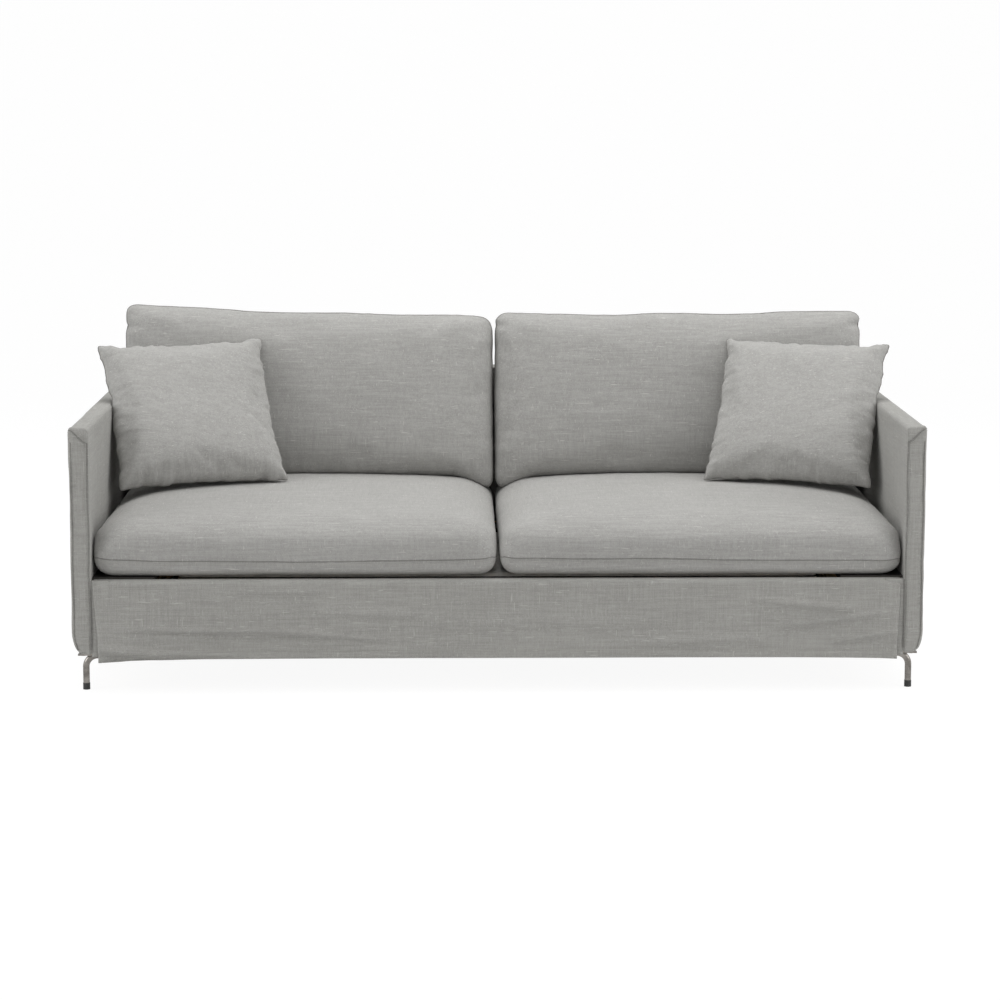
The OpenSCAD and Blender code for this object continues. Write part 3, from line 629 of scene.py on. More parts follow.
# By default a welt takes the darker seam linen, which is painted shade in the seam's groove.
def welt(name, path, radius, body, material=seam_linen_painted_shade, slot="linen", closed=False):
    """A round cord of cloth along a list of points."""
    path = np.array(path)
    count = len(path)
    ahead = unit(np.roll(path, -1, 0) - np.roll(path, 1, 0) if closed else np.gradient(path, axis=0))
    side = unit(np.cross(ahead, (0.13, 0.21, 0.97)))
    up = np.cross(side, ahead)
    angles = [2 * math.pi * k / WELT_SIDES for k in range(WELT_SIDES)]
    points = [path + radius * (math.cos(a) * side + math.sin(a) * up) for a in angles]
    points = np.stack(points, 1).reshape(-1, 3)
    faces = []
    for i in range(count if closed else count - 1):
        here, there = i * WELT_SIDES, (i + 1) % count * WELT_SIDES
        for k in range(WELT_SIDES):
            after = (k + 1) % WELT_SIDES
            faces.append((here + k, here + after, there + after, there + k))
    if not closed:
        faces.append(tuple(range(WELT_SIDES))[::-1])
        faces.append(tuple(range((count - 1) * WELT_SIDES, count * WELT_SIDES)))
    return dress(make_mesh(name, points, faces, material), body, slot)


def stitch_tree():
    tree = bpy.data.node_groups.new("stitch_row", "GeometryNodeTree")
    tree.interface.new_socket("Seam", in_out="INPUT", socket_type="NodeSocketGeometry")
    for label in ("Pitch", "Thread", "Length"):
        tree.interface.new_socket(label, in_out="INPUT", socket_type="NodeSocketFloat")
    tree.interface.new_socket("Yarn", in_out="INPUT", socket_type="NodeSocketMaterial")
    tree.interface.new_socket("Stitches", in_out="OUTPUT", socket_type="NodeSocketGeometry")
    add = tree.nodes.new
    given, result = add("NodeGroupInput"), add("NodeGroupOutput")
    steps, place = add("GeometryNodeCurveToPoints"), add("GeometryNodeInstanceOnPoints")
    bead = add("GeometryNodeMeshCylinder")
    real, dye = add("GeometryNodeRealizeInstances"), add("GeometryNodeSetMaterial")
    steps.mode = "LENGTH"
    bead.inputs["Vertices"].default_value = 5
    for start, output, end, entry in (
        (given, "Seam", steps, "Curve"), (given, "Pitch", steps, "Length"),
        (given, "Thread", bead, "Radius"), (given, "Length", bead, "Depth"),
        (steps, "Points", place, "Points"), (steps, "Rotation", place, "Rotation"),
        (bead, "Mesh", place, "Instance"), (place, "Instances", real, "Geometry"),
        (real, "Geometry", dye, "Geometry"), (given, "Yarn", dye, "Material"),
        (dye, "Geometry", result, "Stitches"),
    ):
        tree.links.new(start.outputs[output], end.inputs[entry])
    return tree


STITCHES = stitch_tree()
STITCH_SIZES = {"Pitch": 0.0045, "Thread": 0.0005, "Length": 0.0032, "Yarn": thread}


def stitched(name, paths, body, closed=False):
    """Rows of stitches along several paths, turned into one plain mesh that rides on one body."""
    curve = bpy.data.curves.new(name + "_path", "CURVE")
    curve.dimensions = "3D"
    for path in paths:
        line = curve.splines.new("POLY")
        line.points.add(len(path) - 1)
        line.points.foreach_set("co", [v for p in path for v in (*p, 1)])
        line.use_cyclic_u = closed
    guide = added(name + "_path", curve)
    row = guide.modifiers.new("stitches", "NODES")
    row.node_group = STITCHES
    for item in STITCHES.interface.items_tree:
        if item.name in STITCH_SIZES:
            row[item.identifier] = STITCH_SIZES[item.name]
    drawn = guide.evaluated_get(bpy.context.evaluated_depsgraph_get())
    mesh = bpy.data.meshes.new_from_object(drawn)
    mesh.name = name
    bpy.data.objects.remove(guide)
    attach(added(name, mesh), body)


print("stitch tree has", len(STITCHES.nodes), "nodes")

# %% [markdown]
# ## Seat cushions
# A seat cushion is a thick foam slab in a boxed cover. Its top rolls over into the front in one wide
# curve, its ends bulge against the arm and the other cushion, and below the single seam the cloth
# tapers in again. It rests flat on the deck, so that is the only flat side.

# %% Seat cushions
SEAT_HALF = (SEAT_HIGH - SEAT_LOW) / 2
SEAT_SIDE = 0.128       # height of the boxed side, below the crown
SEAT_FOOT = SEAT_SIDE / 2
SEAT_MIDDLE = np.array((*(SEAT_LOW + SEAT_HIGH)[:2] / 2, DECK + SEAT_FOOT))
SEAT_SQUARES = (64, 58, 10)
SEAM_LEVEL = -0.4       # share of the half height
SEAT_CROWN = 0.031
SEAM_GAP = 0.003        # a welt stays this far out of the cushion below it
FRONT_TAPER = 0.015     # how far the front leans in below the seam


def seat_shape(skin):
    half = np.array((SEAT_HALF[0] - 0.007, SEAT_HALF[1] - 0.008, SEAT_FOOT))
    upper = smooth_step(skin[:, 2:3], -0.4, 0.4)
    ends = smooth_step(np.abs(skin[:, 0:1]), 0.84, 1.0)
    lower = (0.050, 0.018, 0.020) + ends * (0, 0, 0.034)
    radii = (1 - upper) * lower + upper * (0.078, 0.074, 0.054)
    shape = rounded(skin * half, half, radii)
    across, along = np.abs(shape[:, 0] / half[0]), np.abs(shape[:, 1] / half[1])
    dome = (1 - across ** 2.6) * (1 - along ** 2.4)
    shape[:, 2] += SEAT_CROWN * np.maximum(dome, 0) * smooth_step(skin[:, 2], 0.0, 1.0)
    return shape


def settled(held, skin):
    """Lower the sole on to the deck, and flatten the sides against the arm and the other cushion."""
    sole = (skin[:, 2] < -ON_FACE) & (np.abs(skin[:, 0]) < 0.8)
    sole &= np.abs(np.abs(skin[:, 1]) - 0.91) < 0.04
    lifted = held[sole, 2].mean() + SEAT_FOOT + 0.001
    held[:, 2] -= lifted * (1 - smooth_step(skin[:, 2], -1.0, 0.5))
    held[:, 0] = pressed(held[:, 0], SEAT_HALF[0] + 0.0012, 0.006, SEAT_HALF[0] + 0.0010, 0.006)
    held[:, 1] = pressed(held[:, 1], SEAT_HALF[1] + 0.001, 0.004, SEAT_HALF[1] + 0.004, 0.004)
    held[:, 2] = -eased(-held[:, 2], SEAT_FOOT - 0.0004, 0.003)


def seat_cushion(side, seed):
    word = SIDES[side]
    skin, faces = box_skin(SEAT_SQUARES)
    shape = seat_shape(skin)
    shape[:, 2] += 0.0015 * cloth_noise(shape, (6, 6, 6), seed)
    size = SEAT_HALF + (0.004, 0.002, 0)
    cushion, held = filled("seat_cushion_cloth_" + word, shape, faces, size, cap=0.013)
    held[:, 2] += SEAT_HALF[2] - SEAT_FOOT
    settled(held, skin)
    seam = skin[:, 2] - SEAM_LEVEL
    on_side = np.abs(skin[:, :2]).max(1) > ON_FACE
    pucker = 0.6 + 0.5 * cloth_noise(held, (40, 40, 12), seed + 5, 2)
    held = drawn_in(held, np.exp(-(seam / 0.16) ** 2) * on_side, 0.0028, pucker)
    sway = 0.0036 * np.sin(held[:, 0] * 5.1 + seed) + 0.0012 * np.sin(held[:, 0] * 17 + seed)
    held[:, 2] += sway * np.exp(-(seam / 0.4) ** 2) * on_side
    front = smooth_step(-held[:, 1], SEAT_HALF[1] - 0.06, SEAT_HALF[1])
    held[:, 1] += FRONT_TAPER * front * (1 - smooth_step(held[:, 2], -0.055, 0.040))
    ring = ring_order(held, np.isclose(skin[:, 2], SEAM_LEVEL))
    set_points(cushion, held + SEAT_MIDDLE, side)
    points, normals = subdivide(cushion)
    free = smooth_step(points[:, 2], DECK + 0.004, DECK + 0.03)
    soft = folds(points, (0.0011, (5, 9, 16), seed + 1), (0.0004, (22, 30, 40), seed + 2, 2))
    points += normals * (soft * free)[:, None]
    set_points(cushion, points)
    body = "seat_" + word
    welt("seat_seam_" + word, points[ring], radius=0.0016, body=body, closed=True)
    stitched("seat_stitches_" + word, [points[ring] - (0, 0, 0.007)], body, closed=True)
    return dress(cushion, body, stands_for="seat_cushion_" + word)


seats = {side: seat_cushion(side, seed) for side, seed in ((1, 3), (-1, 11))}
print("seat cushions", faces_in(seats.values()))

# %% [markdown]
# ## Back cushions
# A back cushion is softer: loose filling in a boxed cover, leaned against the back. It is fullest in
# the middle, and its top corners are pinched by a small dart. It is made lying flat, then leaned
# back and set on the seat cushion, whose cloth it never enters.

# %% Back cushions
BACK_REACH, BACK_HALF_TALL = (BACK_HIGH[0] - BACK_LOW[0]) / 2, 0.220
BACK_HALF_SIDE, BACK_CROWN = 0.050, 0.034
BACK_SQUARES = (80, 40, 8)
BACK_FRONT = COVER_LOW[1]
BACK_PLACE = (BACK_LOW + BACK_HIGH) / 2
BACK_SEAM = 0.5         # share of the half thickness
BACK_GAP = 0.0012       # between the cloth and the seat cushion's cloth
# height of the top edge above the plain cushion, from the inner end to the outer one
TOP_LINES = {"left": (-0.013, 0.000, 0.007, 0.026), "right": (0.001, -0.004, -0.002, 0.004)}
DARTS = ((1, 1.0), (-1, 0.6))   # end and strength


def back_shape(skin, seed):
    half = np.array((BACK_REACH - 0.005, BACK_HALF_TALL - 0.003, BACK_HALF_SIDE - 0.002))
    shape = rounded(skin * half, half, (0.036, 0.036, 0.044))
    across, along = np.abs(shape[:, 0] / half[0]), np.abs(shape[:, 1] / half[1])
    dome = np.maximum((1 - across ** 3.0) * (1 - along ** 2.2), 0)
    shape[:, 2] += 0.026 * dome * np.sign(skin[:, 2]) * (np.abs(skin[:, 2]) > ON_FACE)
    shape[:, 2] *= 1 - 0.30 * smooth_step(across, 0.80, 1.0) * smooth_step(along, 0.62, 1.0)
    waist = 0.003 * (1 - along ** 2) * smooth_step(across, 0.9, 1.0)
    shape[:, 0] -= waist * np.sign(shape[:, 0])
    shape[:, 1] += 0.004 * cloth_noise(shape * (1, 0, 0), (3, 1, 1), seed) * (along > 0.9)
    return shape


def ends_squared(held, skin, limits):
    """Push the ends of every row out to the limits, as two cushions side by side flatten each other."""
    squared = held.copy()
    for level in np.unique(skin[:, 1]):
        row = np.isclose(skin[:, 1], level)
        share = 1 - float(smooth_step(abs(level), 0.80, 1.0))
        for direction, limit in zip((1, -1), limits):
            there = row & (held[:, 0] * direction > 0)
            reach = np.abs(held[there, 0]).max()
            stretch = (np.abs(held[there, 0]) / reach) ** 5
            squared[there, 0] += direction * stretch * share * (limit - reach)
    return squared


def leant_on(held, skin, seed, top_line):
    """Flatten the cushion against its neighbours, then lift its top edge and drop its inner corner."""
    to_middle, thick = BACK_PLACE[0] - 0.0008, BACK_HALF_SIDE + BACK_CROWN
    held = ends_squared(held, skin, (BACK_REACH + 0.002, to_middle))
    held[:, 0] = pressed(held[:, 0], BACK_REACH + 0.003, 0.003, to_middle, 0.003)
    held[:, 1] = pressed(held[:, 1], BACK_HALF_TALL + 0.004, 0.006, BACK_HALF_TALL, 0.005)
    held[:, 2] = pressed(held[:, 2], thick, 0.008, thick - 0.002, 0.008)
    line = np.interp(held[:, 0], np.linspace(-BACK_REACH, BACK_REACH, 4), top_line)
    line += 0.0016 * np.sin(held[:, 0] * 19 + seed)
    held[:, 1] += line * smooth_step(held[:, 1], -0.05, BACK_HALF_TALL)
    droop = smooth_step(-held[:, 1], BACK_HALF_TALL - 0.100, BACK_HALF_TALL)
    held[:, 1] -= 0.032 * droop * smooth_step(-held[:, 0], BACK_REACH - 0.110, BACK_REACH)
    return held


def darted(local, facing):
    """Pinch the cloth near the two top corners."""
    for end, strength in DARTS:
        inwards = (end * BACK_REACH - local[:, 0]) * end
        level = (local[:, 1] - (BACK_HALF_TALL - 0.036) + 0.30 * inwards) / 0.0085
        dart = strength * np.exp(-(inwards / 0.034) ** 2 - level ** 2)
        local[:, 2] -= 0.0060 * dart * facing
        local[:, 0] -= end * 0.0040 * dart


def back_cushion(side, seed):
    word = SIDES[side]
    skin, faces = box_skin(BACK_SQUARES)
    size = (BACK_REACH + 0.005, BACK_HALF_TALL + 0.001, BACK_HALF_SIDE + BACK_CROWN - 0.002)
    cushion, held = filled("back_cushion_cloth_" + word, back_shape(skin, seed), faces, size, cap=0.016,
                           shrink=-0.03, draw=0.35)
    held = leant_on(held, skin, seed, TOP_LINES[word])
    on_side = np.abs(skin[:, :2]).max(1) > ON_FACE
    ring = ring_order(held, np.isclose(skin[:, 2], BACK_SEAM) & on_side)
    pucker = 0.5 + 0.9 * cloth_noise(held, (34, 34, 10), seed + 4, 2)
    seam = np.exp(-((skin[:, 2] - BACK_SEAM) / 0.22) ** 2) * on_side
    set_points(cushion, drawn_in(held, seam, 0.0026, pucker))
    local, normals = subdivide(cushion)
    facing = np.maximum(normals[:, 2:3], 0)
    pinches = gathers(local, (BACK_REACH, BACK_HALF_TALL), seed + 6, pitch=0.021, depth=0.034)
    local += normals * facing * (0.0034 * pinches)[:, None]
    darted(local, facing[:, 0])
    set_points(cushion, turned(local, math.pi / 2 - BACK_LEAN, 0) + BACK_PLACE, side)
    points, normals = points_of(cushion), normals_of(cushion)
    soft = folds(points, (0.0020, (4, 4, 5), seed + 1), (0.0006, (14, 20, 26), seed + 2, 2))
    creases = np.maximum(cloth_noise(points, (3, 10, 22), seed + 3, 2), 0) ** 2
    points += normals * (soft + 0.0016 * creases)[:, None]
    points[:, 1] = eased(points[:, 1], BACK_FRONT - 0.0006, 0.004)
    points = kept_outside(points, [seats[side]], BACK_GAP)
    set_points(cushion, points)
    path = kept_outside(points[ring], [seats[side]], SEAM_GAP)
    welt("back_seam_" + word, path, radius=0.0014, body="back_" + word, closed=True)
    return dress(cushion, "back_" + word, stands_for="back_cushion_" + word)


backs = {side: back_cushion(side, seed) for side, seed in ((1, 21), (-1, 34))}
print("back cushions", faces_in(backs.values()))

# %% [markdown]
# ## Throw pillows
# A throw pillow is two squares of cloth sewn together at the rim and stuffed. Blown up from flat, the
# rim draws in between the corners. Dents cut into the rim on both sides of each corner leave an ear
# there, and short puckers run in from the seam. Last, each pillow is pressed towards its arm.

# %% Throw pillows
PILLOW_SIDE, PILLOW_THICK = 0.455, 0.125
PILLOW_REACH = PILLOW_SIDE * 0.4765     # half the side, once the filling has drawn it in
PILLOW_SQUARES = 52
PILLOW_SLIDE = 0.015    # how far the soft pillow is pressed on towards the arm
PILLOW_GAP = 0.0015     # between the pillow and the two cushions
PILLOW_PLACE = np.array((
    ARM_FACE - PILLOW_SIDE * 0.4702 + PILLOW_SLIDE,
    BACK_FRONT - 0.3238,
    DECK + SEAT_SIDE + PILLOW_SIDE * 0.4556,
))


def bag_skin(count):
    """Two square sheets that share their rim."""
    steps = np.linspace(-1, 1, count + 1)
    points, faces, front, rear = [], [], {}, {}
    for j in range(count + 1):
        for i in range(count + 1):
            front[i, j] = rear[i, j] = len(points)
            points.append((steps[i], steps[j], 1))
            if 0 < i < count and 0 < j < count:
                rear[i, j] = len(points)
                points.append((steps[i], steps[j], -1))
    for j in range(count):
        for i in range(count):
            faces.append([front[i, j], front[i + 1, j], front[i + 1, j + 1], front[i, j + 1]])
            faces.append([rear[i, j + 1], rear[i + 1, j + 1], rear[i + 1, j], rear[i, j]])
    return np.array(points, dtype=float), faces


def rim_dents(held, seed):
    """Dents along the rim: one on each side of a corner, which leaves an ear, and one between."""
    pick = random.Random(seed)
    moved = held.copy()
    for axis, other in ((0, 1), (1, 0)):
        for end in (-1, 1):
            inside = np.maximum(PILLOW_REACH - end * held[:, axis], 0)
            near = np.exp(-(inside / 0.034) ** 2)
            for place, deep in ((-1, 1.0), (0, 0.45), (1, 1.0)):
                spot = place * (PILLOW_REACH - pick.uniform(0.040, 0.075))
                if place == 0:
                    spot = pick.uniform(-0.06, 0.06)
                depth, width = deep * pick.uniform(0.0035, 0.0075), pick.uniform(0.014, 0.024)
                moved[:, axis] -= end * depth * near * np.exp(-((held[:, other] - spot) / width) ** 2)
    return moved


def pillow_shape(skin, seed):
    rim = np.maximum(1 - np.abs(skin[:, 0]) ** 2.4, 0) * np.maximum(1 - np.abs(skin[:, 1]) ** 2.4, 0)
    shape = skin * (PILLOW_SIDE / 2, PILLOW_SIDE / 2, 0)
    shape[:, 0] *= 1 - 0.030 * (1 - skin[:, 1] ** 2)
    shape[:, 1] *= 1 - 0.030 * (1 - skin[:, 0] ** 2)
    shape[:, 2] = skin[:, 2] * PILLOW_THICK * 0.42 * rim ** 0.42
    shape += 0.0012 * np.stack([cloth_noise(shape, (30, 30, 30), seed + k, 2) for k in range(3)], 1)
    return shape


def throw_pillow(side, seed):
    word = SIDES[side]
    skin, faces = bag_skin(PILLOW_SQUARES)
    size = (PILLOW_REACH + 0.003, PILLOW_REACH + 0.003, PILLOW_THICK / 2)
    pillow, held = filled("throw_pillow_cloth_" + word, pillow_shape(skin, seed), faces, size, cap=0.024,
                          pressure=5.0, shrink=-0.06, stiffness=12, frames=22, draw=0.45)
    blunt = 0.015 * np.abs(skin[:, 0] * skin[:, 1]) ** 16
    held[:, :2] *= (1 - blunt)[:, None]
    held = rim_dents(held, seed)
    ring = ring_order(held, np.isclose(np.abs(skin[:, :2]).max(1), 1))
    set_points(pillow, held)
    local, normals = subdivide(pillow)
    pinches = gathers(local, (PILLOW_REACH, PILLOW_REACH), seed + 6, pitch=0.020, depth=0.040)
    local += normals * (0.0050 * pinches)[:, None]
    leant = turned(turned(local, -PILLOW_ROLL, 2), math.pi / 2 - PILLOW_LEAN, 0)
    set_points(pillow, turned(leant, -PILLOW_TURN, 2) + PILLOW_PLACE, side)
    points, normals = points_of(pillow), normals_of(pillow)
    points += normals * (0.0012 * cloth_noise(points, (7, 9, 9), seed + 1))[:, None]
    cushions = [seats[side], backs[side]]
    points = kept_outside(points, cushions, PILLOW_GAP)
    beside_arm = smooth_step(-points[:, 2], -ARM_HIGH[2] - 0.030, -ARM_HIGH[2] - 0.005)
    past = np.maximum(np.abs(points[:, 0]) - (ARM_FACE - 0.0012), 0)
    points[:, 0] -= side * past * beside_arm
    set_points(pillow, points)
    path = kept_outside(points[ring], cushions, SEAM_GAP)
    welt("pillow_seam_" + word, path, radius=0.0017, body="pillow_" + word, closed=True)
    return dress(pillow, "pillow_" + word, stands_for="throw_pillow_" + word)


pillows = [throw_pillow(1, 41), throw_pillow(-1, 57)]
print("throw pillows", faces_in(pillows))

# %% [markdown]
# ## Arm covers
# An arm is a thin padded panel in a loose cover. The cover is one sheet over the outside, the top and
# the inside, sewn to a narrow front panel. At the front the top ends in a small loose ear where the
# flap of the panel is turned in. Inside, the cloth stops at the deck, because the bed folds out below.

# %% Arm covers
ARM_SIZE = ARM_HIGH - ARM_LOW
MARGINS = (0.0022, 0.0060, 0.0120)      # closer squares beside the edges of a cover
ARM_RULERS = [ruled(count, size, MARGINS) for count, size in zip((4, 72, 42), ARM_SIZE)]
CLOTH = 0.0022
ARM_EDGE, ARM_FOOT_ROUND = 0.004, 0.026


def arm_cover(side, seed):
    word = SIDES[side]
    skin, faces = box_skin(ARM_RULERS)
    middle, half = (ARM_LOW + ARM_HIGH) / 2, ARM_SIZE / 2
    upper = smooth_step(skin[:, 2:3], 0.7, 0.9)
    outer = smooth_step(skin[:, 0:1], -0.5, 0.5)
    radii = (ARM_EDGE, 0.0045, ARM_EDGE) + upper * (0.006, 0, 0.006)
    radii = radii + (1 - upper) * outer * (ARM_FOOT_ROUND - ARM_EDGE) * (1, 0, 1)
    shape = rounded(skin * half, half - 0.0004, radii) + middle
    deck_share = (DECK - middle[2]) / half[2]
    kept = [f for f in faces if not (np.all(skin[f, 0] < -ON_FACE) and np.all(skin[f, 2] < deck_share))]
    used = np.unique(np.concatenate(kept))
    renumber = {old: new for new, old in enumerate(used)}
    kept = [[renumber[i] for i in f][::side] for f in kept]
    cover = make_mesh("arm_cover_cloth_" + word, shape[used] * (side, 1, 1), kept, cover_linen)
    points, normals = subdivide(cover)
    level = (points[:, 2] - ARM_LOW[2]) / ARM_SIZE[2]
    outwards = smooth_step(np.abs(points[:, 0]), ARM_FACE + 0.004, ARM_FACE + 0.012)
    long_folds = cloth_noise(points, (2, 2.2, 9), seed)
    soft = 0.0016 * long_folds + 0.0007 * cloth_noise(points, (8, 11, 14), seed + 2, 2) + 0.0012
    puff = soft * (1 - 0.4 * smooth_step(level, 0.97, 1.0))
    inside = 0.0004 + 0.0006 * np.maximum(long_folds, 0)
    points += normals * (puff * outwards + inside * (1 - outwards))[:, None]
    front = smooth_step(-points[:, 1], -FRONT - 0.03, -FRONT - 0.004)
    rise = smooth_step(np.abs(points[:, 0]), ARM_FACE + 0.022, HALF_WIDTH)
    points[:, 2] += 0.003 * rise * front * smooth_step(level, 0.965, 1.0)
    points[:, 0] -= side * 0.006 * smooth_step(-level, -0.10, 0.0) * outwards
    set_points(cover, points)
    thicken(cover, CLOTH)
    return dress(cover, "root", stands_for="arm_cover_" + word)


def arm_seams(side):
    """The two seams of the front panel and the turned flap across its top."""
    word = SIDES[side]
    face = FRONT - 0.0010
    heights = np.linspace(ARM_HIGH[2] - 0.034, ARM_LOW[2] + 0.012, 60)
    sway = 0.0011 * np.sin(heights * 31 + side)
    inner = ARM_FACE + 0.0030 + sway
    taper = 0.010 * smooth_step(-heights, -ARM_LOW[2] - 0.05, -ARM_LOW[2])
    outer = HALF_WIDTH - 0.0050 + sway * 0.6 - taper
    seams = [line_of(side * inner, face, heights), line_of(side * outer, face + 0.0008, heights)]
    for label, path in zip(("inner", "outer"), seams):
        welt("arm_seam_" + label + "_" + word, path, radius=0.0013, body="root")
    share = np.linspace(0, 1, 26)
    across = HALF_WIDTH - 0.001 - share * (ARM_SIZE[0] - 0.007)
    dip = ARM_HIGH[2] - 0.004 - 0.030 * smooth_step(share, 0.0, 1.0)
    flap = line_of(side * across, face - 0.0012, dip)
    welt("arm_flap_seam_" + word, flap, radius=0.0015, body="root")
    beside = [seams[0] + (side * 0.0045, -0.0004, 0), flap - (0, 0.0004, 0.005)]
    stitched("arm_stitches_" + word, beside, "root")


arms = [arm_cover(1, 61), arm_cover(-1, 73)]
for side in SIDES:
    arm_seams(side)
print("arm covers", faces_in(arms))

# %% [markdown]
# ## Front skirt
# The skirt is one long sheet. It is tacked along the top of the front rail, turns over its edge and
# hangs to the hem, with a slit at each end so that it can be lifted when the bed comes out. Its folds
# are level ones: the linen was folded before it was sewn, so it keeps long flat ridges. Each ridge has
# its own place, length, slope and height. The hem sags a little towards the left end.

# %% Front skirt
SKIRT_REACH = SKIRT_HIGH[0] - 0.013
SKIRT_TOP, HEM_LOW = SKIRT_HIGH[2], SKIRT_LOW[2]
SKIRT_FACE = FRONT - 0.0022
SKIRT_CLOTH = 0.0016
TURN = 0.009            # radius over the rail's top edge
# middle x, middle z, half length, half height, slope, rise
RIDGES = (
    (-0.640, 0.152, 0.210, 0.0052, -0.012, 0.0105),
    (-0.400, 0.140, 0.120, 0.0055, -0.070, 0.0070),
    (-0.540, 0.250, 0.130, 0.0085, 0.012, 0.0060),
    (-0.310, 0.196, 0.150, 0.0110, -0.020, 0.0048),
    (0.120, 0.172, 0.260, 0.0140, 0.010, 0.0040),
    (0.480, 0.128, 0.160, 0.0100, 0.030, 0.0048),
    (0.800, 0.176, 0.120, 0.0058, 0.130, 0.0090),
    (0.740, 0.214, 0.110, 0.0070, -0.090, 0.0070),
    (0.880, 0.134, 0.070, 0.0055, 0.180, 0.0070),
    (-0.880, 0.102, 0.085, 0.0085, -0.130, 0.0150),
    (-0.760, 0.098, 0.130, 0.0058, -0.030, 0.0085),
)


def hem_height(x):
    share = x / SKIRT_REACH
    return HEM_LOW + 0.009 * (1 - np.abs(share) ** 6 * np.where(share < 0, 1.0, 0.5))


def skirt_points(x, share):
    """Points of the sheet; the share runs from the tacked edge at 0 to the hem at 1."""
    flap, quarter = SKIRT_HIGH[1] - SKIRT_FACE - TURN - 0.001, TURN * math.pi / 2
    along = share * (flap + quarter + SKIRT_TOP - TURN - hem_height(x))
    angle = np.clip((along - flap) / TURN, 0, math.pi / 2)
    y = SKIRT_HIGH[1] - 0.001 - np.minimum(along, flap) - TURN * np.sin(angle)
    z = SKIRT_TOP - 0.0005 - TURN * (1 - np.cos(angle)) - np.maximum(along - flap - quarter, 0)
    points = line_of(x, y, z)
    hanging = smooth_step(SKIRT_TOP - z, 0.010, 0.045)
    rise = np.zeros(len(x))
    for mid_x, mid_z, half_x, half_z, slope, height in RIDGES:
        run = (x - mid_x) / half_x
        level = (z - mid_z - slope * (x - mid_x)) / half_z
        rise += height * np.exp(-run ** 4) * (np.exp(-level ** 2) - 0.45 * np.exp(-(level + 2.2) ** 2))
    rise += folds(points, (0.0016, (2.2, 1, 13), 5), (0.0006, (9, 1, 40), 6, 2))
    corner = smooth_step(np.abs(x), SKIRT_REACH - 0.045, SKIRT_REACH)
    rise += 0.0035 * smooth_step(-z, -HEM_LOW - 0.05, -HEM_LOW) * (1 + corner)
    points[:, 1] -= hanging * np.maximum(rise, -0.0018)
    points[:, 2] -= 0.010 * corner * (1 - hanging) * smooth_step(along, flap * 0.5, flap)
    upper = smooth_step(z, HEM_LOW, SKIRT_TOP)
    points[:, 0] += corner * upper * np.where(x < 0, -0.0105, 0.0060)
    return points


def hang(name, points, faces, thickness):
    """Make a hanging sheet of cloth, thickened inwards, that rides on the root."""
    panel = make_mesh(name, points, faces, cover_linen)
    thicken(panel, thickness)
    dress(panel, "root")
    return panel


def skirt_sheet():
    columns, rows = 320, 44
    across, down = np.linspace(-SKIRT_REACH, SKIRT_REACH, columns + 1), np.linspace(0, 1, rows + 1)
    points = skirt_points(*(part.ravel() for part in np.meshgrid(across, down)))
    skirt = hang("front_skirt_cloth", points, grid_faces(columns, rows), SKIRT_CLOTH)
    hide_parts("front_skirt")
    hem = np.linspace(-SKIRT_REACH + 0.006, SKIRT_REACH - 0.006, 420)
    above_hem, below_tacks, at_hem = (np.full(len(hem), share) for share in (0.905, 0.175, 0.992))
    rows_of_thread = [skirt_points(hem, share) - (0, 0.0004, 0) for share in (above_hem, below_tacks)]
    stitched("skirt_stitches", rows_of_thread, "root")
    fold = skirt_points(hem, at_hem) + (0, 0.0006, 0)
    welt("skirt_hem_fold", fold, radius=0.0019, body="root", material=cover_linen)
    return skirt


skirt = skirt_sheet()
print("front skirt", faces_in([skirt]))

# %% [markdown]
# ## Slit gussets and rear skirt
# Behind each slit a narrow strip of the same linen is tacked to the rail, so that no timber shows
# when the skirt stirs. Behind the sofa a plain skirt hangs from the back cover over the rear rail.

# %% Gussets and rear skirt
def gusset(side):
    """The strip behind a slit: over the rail's top edge and down its front."""
    inner, outer = SKIRT_REACH - 0.030, ARM_FACE + 0.0015
    face, top, back_edge = FRONT + 0.0016, SKIRT_TOP - 0.0018, SKIRT_HIGH[1] - 0.002
    flap = [(y, top) for y in np.linspace(back_edge, face + 0.001, 5)]
    fall = [(face, z) for z in np.linspace(top - 0.001, HEM_LOW + 0.012, 26)]
    route = np.array(flap + fall)
    points = np.array([(side * x, y, z) for y, z in route for x in np.linspace(inner, outer, 7)])
    creases = np.maximum(cloth_noise(points, (20, 1, 12), 83, 2), 0)
    points[:, 1] -= 0.0006 * creases * (points[:, 2] < top - 0.01)
    length = np.linalg.norm(np.diff(route, axis=0), axis=1).sum()
    faces = grid_faces(6, len(route) - 1, side < 0)
    hang("slit_gusset_" + SIDES[side], points, faces, thickness=0.0010)


def rear_skirt():
    """A plain sheet from the back cover down to its hem."""
    rear_low, rear_high = box_of("rear_skirt")
    reach, face = ARM_FACE + 0.0022, rear_high[1] - 0.0002
    top, hem_z = rear_high[2] + 0.0055, rear_low[2]
    columns, rows = 240, 26
    x, z = np.meshgrid(np.linspace(-reach, reach, columns + 1), np.linspace(top, hem_z, rows + 1))
    points = line_of(x.ravel(), face, z.ravel())
    soft = folds(points, (0.0020, (5, 1, 2), 91), (0.0008, (17, 1, 5), 92, 2))
    points[:, 1] += np.maximum(soft + 0.0016, 0) * smooth_step(top - points[:, 2], 0.0, 0.06)
    panel = hang("rear_skirt_cloth", points, grid_faces(columns, rows, turned_over=True), SKIRT_CLOTH)
    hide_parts("rear_skirt")
    hem = np.linspace(-reach + 0.006, reach - 0.006, 300)
    stitched("rear_skirt_stitches", [line_of(hem, face + 0.0044, hem_z + 0.022)], "root")


for side in SIDES:
    gusset(side)
rear_skirt()
print("gussets and rear skirt hung")

